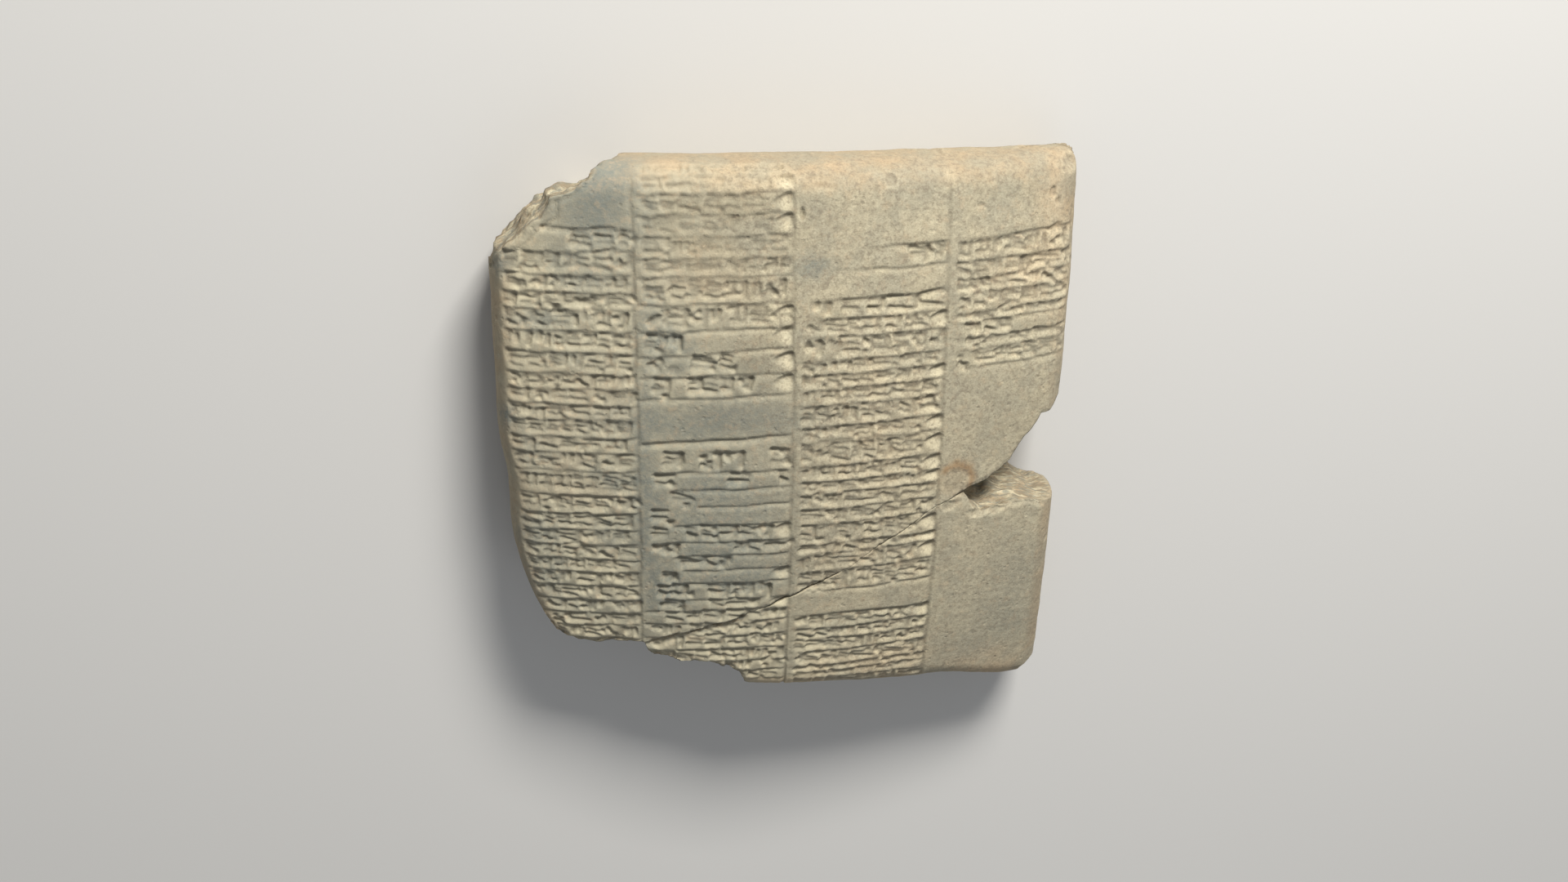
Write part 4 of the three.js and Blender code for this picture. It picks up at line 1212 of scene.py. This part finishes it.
def speckle_group():
    """Dark mineral specks about a millimetre wide, and finer dust between them."""
    tree, given, result = new_tree("Mineral specks", "ShaderNodeTree", (
        ("Vector", "Vector"), ("Float", "Amount")), (("Float", "Coarse", "Fine"),))
    place = given.outputs["Vector"]
    crowd = times(tree, shader_noise(tree, place, 9, 2.0), 0.2)
    dots = plus(tree, shader_noise(tree, place, 1.25, 3.0, 0.6), crowd)
    coarse = mapped(tree, dots, 0.58, 0.78)
    tree.links.new(times(tree, coarse, given.outputs["Amount"]), result.inputs["Coarse"])
    dust = mapped(tree, shader_noise(tree, place, 0.6, 3.0, 0.65), 0.4, 0.7)
    tree.links.new(times(tree, dust, given.outputs["Amount"]), result.inputs["Fine"])
    return tree


def mottle_group():
    """Uneven firing: broad and fine changes of tone."""
    tree, given, result = new_tree("Uneven firing", "ShaderNodeTree", (("Vector", "Vector"),), (
        ("Float", "Broad", "Fine"),))
    place = given.outputs["Vector"]
    tree.links.new(mapped(tree, shader_noise(tree, place, 11, 4.0, 0.6), 0.34, 0.66), result.inputs["Broad"])
    tree.links.new(mapped(tree, shader_noise(tree, place, 2.2, 4.0, 0.62), 0.32, 0.68), result.inputs["Fine"])
    return tree


def grain_group():
    """Height of the grain, the small pits and the layers of the breaks, in metres."""
    tree, given, result = new_tree("Clay grain", "ShaderNodeTree", (
        ("Vector", "Vector"), ("Float", "Broken")), (("Float", "Height"),))
    place = given.outputs["Vector"]
    grain = times(tree, shader_noise(tree, place, 0.5, 4.0, 0.6), 0.00011)
    soft = times(tree, shader_noise(tree, place, 1.7, 3.0, 0.5), 0.0002)
    pits = add_node(tree, "ShaderNodeTexVoronoi", {"Vector": place, "Scale": 420.0}).outputs["Distance"]
    pitted = mapped(tree, shader_noise(tree, place, 6, 2.0), 0.46, 0.62)
    hole = times(tree, mapped(tree, pits, 0.1, 0.3, -0.00014, 0.0), pitted)
    flat = add_node(tree, "ShaderNodeMapping", {"Vector": place, "Scale": (1.0, 1.0, 6.0)}).outputs[0]
    layers = times(tree, shader_noise(tree, flat, 4.5, 5.0, 0.65), 0.0011)
    layers = times(tree, layers, given.outputs["Broken"])
    total = plus(tree, plus(tree, grain, soft), plus(tree, hole, layers))
    tree.links.new(total, result.inputs["Height"])
    return tree


def group_node(tree, name, maker, inputs):
    return add_node(tree, "ShaderNodeGroup", inputs, node_tree=bpy.data.node_groups.get(name) or maker())


def fired_clay(name, colours, speck_share):
    """Fired clay: mottled light and sand-coloured tones, grey and tan patches, specks, painted highlights and
    shade on the strokes and edges, and layered breaks partly darkened as painted shade.
    """
    material = bpy.data.materials.new(name)
    material.use_nodes = True
    tree = material.node_tree
    tree.nodes.clear()
    place = add_node(tree, "ShaderNodeTexCoord").outputs["Object"]

    def point_value(attribute):
        return add_node(tree, "ShaderNodeAttribute", attribute_name=attribute).outputs["Fac"]

    def paint(colour):
        return (*colour, 1.0)

    def share_of(attribute, share):
        return times(tree, point_value(attribute), share)

    broken = point_value("broken")
    mottle = group_node(tree, "Uneven firing", mottle_group, {"Vector": place})
    broad, fine = mottle.outputs["Broad"], mottle.outputs["Fine"]
    amount = share_of("speckled", speck_share)
    specks = group_node(tree, "Mineral specks", speckle_group, {"Vector": place, "Amount": amount})
    # Painted shade: the crowded writing, the dusky patches and the turned edges are darkened.
    crowd_and_edge_shade = maths(tree, "MAXIMUM", point_value("written"), share_of("side", 1.25))
    shade_share_of_crowd = times(tree, crowd_and_edge_shade, plus(tree, times(tree, broad, 0.3), 0.42))
    warm = share_of("warm", plus(tree, times(tree, broad, 0.5), 0.4))
    patchy = mapped(tree, shader_noise(tree, place, 1.6, 6.0, 0.7), 0.34, 0.64)
    uneven = plus(tree, times(tree, patchy, 0.4), 0.66)
    grey = times(tree, point_value("grey"), uneven, clamp=True)
    film = times(tree, maths(tree, "SUBTRACT", 1.0, broad), 0.3)
    blush = mapped(tree, shader_noise(tree, place, 3.4, 5.0, 0.7), 0.5, 0.72, 0.0, 0.3)
    flat = add_node(tree, "ShaderNodeMapping", {"Vector": place, "Scale": (1.0, 1.0, 5.0)}).outputs[0]
    layers = mapped(tree, shader_noise(tree, flat, 5, 5.0, 0.65), 0.42, 0.72)
    tan_layers = times(tree, mapped(tree, shader_noise(tree, flat, 2.4, 4.0), 0.5, 0.7), 0.6)
    grey_layers = times(tree, mapped(tree, shader_noise(tree, flat, 3.6, 5.0, 0.65), 0.46, 0.64), 0.75)

    def coats(colour, steps):
        for share, second in steps:
            colour = mixed(tree, share, colour, second)
        return colour

    skin = coats(paint(colours.sand), (
        (times(tree, fine, 0.55), paint(colours.cream_and_highlight)),
        (shade_share_of_crowd, paint(colours.dusk_and_shade)),
        # painted highlight on crests and on the walls facing the head
        (share_of("crest_highlight", 0.8), paint(colours.cream_and_highlight)),
        (warm, paint(colours.tan)),
        (maths(tree, "MAXIMUM", grey, film), paint(colours.grey)),
        (blush, paint(colours.tan)),
        # painted shade in the recesses
        (share_of("hollow_shade", 0.2), paint(colours.brown_and_hollow_shade)),
        # painted highlight on the lower faces of the last strokes
        (share_of("end_highlight", 0.65), paint(colours.cream_and_highlight)),
        (share_of("ring", 0.7), RING_BROWN),
        (times(tree, specks.outputs["Fine"], 0.3), paint(colours.brown_and_hollow_shade)),
        (times(tree, specks.outputs["Coarse"], 0.5), SPECK_BROWN),
    ))
    # Broken clay: darker layers, partly painted shade of the rough walls.
    inside = coats(paint(colours.fresh_and_shade), (
        (layers, paint(colours.cream_and_highlight)),
        (tan_layers, paint(colours.tan)),
        (grey_layers, paint(colours.grey)),
    ))
    colour = mixed(tree, times(tree, broken, 0.92), skin, inside)
    height = group_node(tree, "Clay grain", grain_group, {"Vector": place, "Broken": broken}).outputs[0]
    bump = add_node(tree, "ShaderNodeBump", {"Height": height, "Strength": 0.8, "Distance": 1.0})
    rough = plus(tree, times(tree, fine, -0.14), 0.93)
    shader = add_node(tree, "ShaderNodeBsdfPrincipled", {
        "Base Color": colour, "Roughness": rough, "Normal": bump.outputs[0], "Specular IOR Level": 0.35})
    add_node(tree, "ShaderNodeOutputMaterial", {"Surface": shader.outputs[0]})
    return material


class TABLET_OT_unbroken(bpy.types.Operator):
    """Shape the whole tablet and press the marks into it"""

    bl_idname = "tablet.unbroken"
    bl_label = "Unbroken tablet"

    def execute(self, context):
        sizes = context.scene.tablet_sizes
        points, quads, on_back = whole_form(sizes.grid / MM)
        mesh = mesh_from("unbroken_tablet", points, quads)
        normals = normals_of(mesh)
        set_points(mesh, worn_form(points, normals, on_back, sizes.seed))
        number_attribute(mesh, "on_back", on_back)
        x, y = points[:, 0], points[:, 1]
        number_attribute(mesh, "further_x", rolled_out(x, side_reach(x, y)) * MM)
        number_attribute(mesh, "further_y", rolled_out(y, end_reach(x, y)) * MM)
        faded = patches(x, y, WORN_PATCHES)
        strength = 0.92 + 0.2 * layered_noise(points, ((16, 0.6), (5, 0.5)), sizes.seed + 77)
        edge = smooth((1.0 - edge_share(x, y)) / 0.1)
        number_attribute(mesh, "firmness", np.clip(strength, 0.5, 1.2) * (1.0 - faded) * edge)
        form = link_object("unbroken_tablet", mesh)
        marks = link_object("marks", lay_marks(sizes))
        tools = stylus_tools()
        use_tree(form, press_tree(), {
            "Marks": marks, "Stroke": tools[0], "Hook": tools[1], "Ruled line": tools[2],
            "Last stroke": tools[3], "Softness": sizes.softness, "Crispness": sizes.crispness,
            "Shoulders": sizes.shoulders, "Rim": sizes.rim, "Back shift": BACK_SHIFT})
        pressed = baked(form, "unbroken_pressed")
        for helper in (form, marks, *tools):
            drop_object(helper)
        link_object("unbroken_tablet", pressed)
        return {"FINISHED"}


class TABLET_OT_main_fragment(bpy.types.Operator):
    """Break the large upper and left fragment out of the tablet"""

    bl_idname = "tablet.main_fragment"
    bl_label = "Main fragment"

    def execute(self, context):
        clay = fired_clay("fired_clay_main", context.scene.clay_colours, 1.0)
        worn = (
            (HEAD_BREAK, 1.6, 0.9), (LEFT_FOOT_BREAK, 2.6, 1.6), (JOIN, 0.5, 0.08), (NOTCH_ABOVE, 1.6, 0.8))
        piece = make_fragment("main_fragment", main_outline(), worn, MAIN_TRIANGLES, clay)
        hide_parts("main_fragment")
        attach(piece, "root")
        return {"FINISHED"}


class TABLET_OT_foot_fragment(bpy.types.Operator):
    """Break the smaller lower right fragment out of the tablet"""

    bl_idname = "tablet.foot_fragment"
    bl_label = "Foot fragment"

    def execute(self, context):
        clay = fired_clay("fired_clay_foot", context.scene.clay_colours, 0.85)
        worn = ((JOIN, 0.5, 0.08), (JOIN[:4], 4.2, 2.4), (NOTCH_BELOW, 2.4, 1.1), (TIP_BREAK, 2.0, 1.3))
        piece = make_fragment("foot_fragment", foot_outline(), worn, FOOT_TRIANGLES, clay)
        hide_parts("foot_fragment")
        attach(piece, "root")
        return {"FINISHED"}


def lamp(name, place, size, power, colour):
    """A rectangular lamp that looks at the tablet."""
    data = bpy.data.lights.new(name, "AREA")
    data.shape = "RECTANGLE"
    data.size, data.size_y = size
    data.energy = power
    data.color = colour
    made = bpy.data.objects.new(name, data)
    made.location = place
    made.rotation_euler = (Vector(LAMP_TARGET) - Vector(place)).to_track_quat("-Z", "Y").to_euler()
    bpy.context.scene.collection.objects.link(made)


class TABLET_OT_stage(bpy.types.Operator):
    """Set the floor, the lights and the camera"""

    bl_idname = "tablet.stage"
    bl_label = "Stage"

    def execute(self, context):
        stage = context.scene.stage_settings
        bpy.ops.mesh.primitive_plane_add(size=FLOOR_SIZE, location=(0.0, 0.0, 0.0))
        floor = context.object
        floor.name = "floor"
        paint = bpy.data.materials.new("floor_paint")
        paint.use_nodes = True
        shader = paint.node_tree.nodes["Principled BSDF"]
        shader.inputs["Base Color"].default_value = (*stage.floor_colour, 1.0)
        shader.inputs["Roughness"].default_value = FLOOR_ROUGHNESS
        floor.data.materials.append(paint)
        lamp("key", KEY_PLACE, KEY_SIZE, stage.key_power, KEY_TINT)
        lamp("fill", FILL_PLACE, FILL_SIZE, stage.fill_power, ROOM_TINT)
        world = bpy.data.worlds.new("room")
        world.use_nodes = True
        sky = world.node_tree.nodes["Background"]
        sky.inputs["Color"].default_value = (*ROOM_TINT, 1.0)
        sky.inputs["Strength"].default_value = stage.sky_strength
        context.scene.world = world
        context.scene.view_settings.view_transform = "Standard"
        camera_data = bpy.data.cameras.new("camera")
        camera_data.lens = CAMERA_LENS
        camera_data.sensor_width = SENSOR_WIDTH
        camera_data.clip_start = 0.01
        camera = bpy.data.objects.new("camera", camera_data)
        right = Vector(CAMERA_RIGHT).normalized()
        forward = Vector(CAMERA_FORWARD).normalized()
        up = right.cross(forward).normalized()
        right = forward.cross(up).normalized()
        turn = Matrix((right, up, -forward)).transposed().to_4x4()
        camera.matrix_world = Matrix.Translation(CAMERA_PLACE) @ turn
        context.scene.collection.objects.link(camera)
        context.scene.camera = camera
        return {"FINISHED"}


class TABLET_PT_panel(bpy.types.Panel):
    """Sizes, colours and making steps of the tablet"""

    bl_label = "Cuneiform tablet"
    bl_idname = "TABLET_PT_panel"
    bl_space_type = "VIEW_3D"
    bl_region_type = "UI"
    bl_category = "Tablet"

    def draw(self, context):
        layout = self.layout
        for group in (context.scene.tablet_sizes, context.scene.clay_colours, context.scene.stage_settings):
            column = layout.column()
            for name in group.bl_rna.properties.keys():
                if name not in {"name", "rna_type"}:
                    column.prop(group, name)
        for step in STEPS:
            layout.operator("tablet." + step)


STEPS = ("unbroken", "main_fragment", "foot_fragment", "stage")
CLASSES = (
    TabletSizes, ClayColours, StageSettings, TABLET_OT_unbroken, TABLET_OT_main_fragment,
    TABLET_OT_foot_fragment, TABLET_OT_stage, TABLET_PT_panel,
)


def register():
    for made in CLASSES:
        bpy.utils.register_class(made)
    bpy.types.Scene.tablet_sizes = PointerProperty(type=TabletSizes)
    bpy.types.Scene.clay_colours = PointerProperty(type=ClayColours)
    bpy.types.Scene.stage_settings = PointerProperty(type=StageSettings)


def unregister():
    del bpy.types.Scene.stage_settings
    del bpy.types.Scene.clay_colours
    del bpy.types.Scene.tablet_sizes
    for made in reversed(CLASSES):
        bpy.utils.unregister_class(made)


def main():
    register()
    for step in STEPS:
        getattr(bpy.ops.tablet, step)()
    drop_object(bpy.data.objects["unbroken_tablet"])


if __name__ == "__main__":
    main()
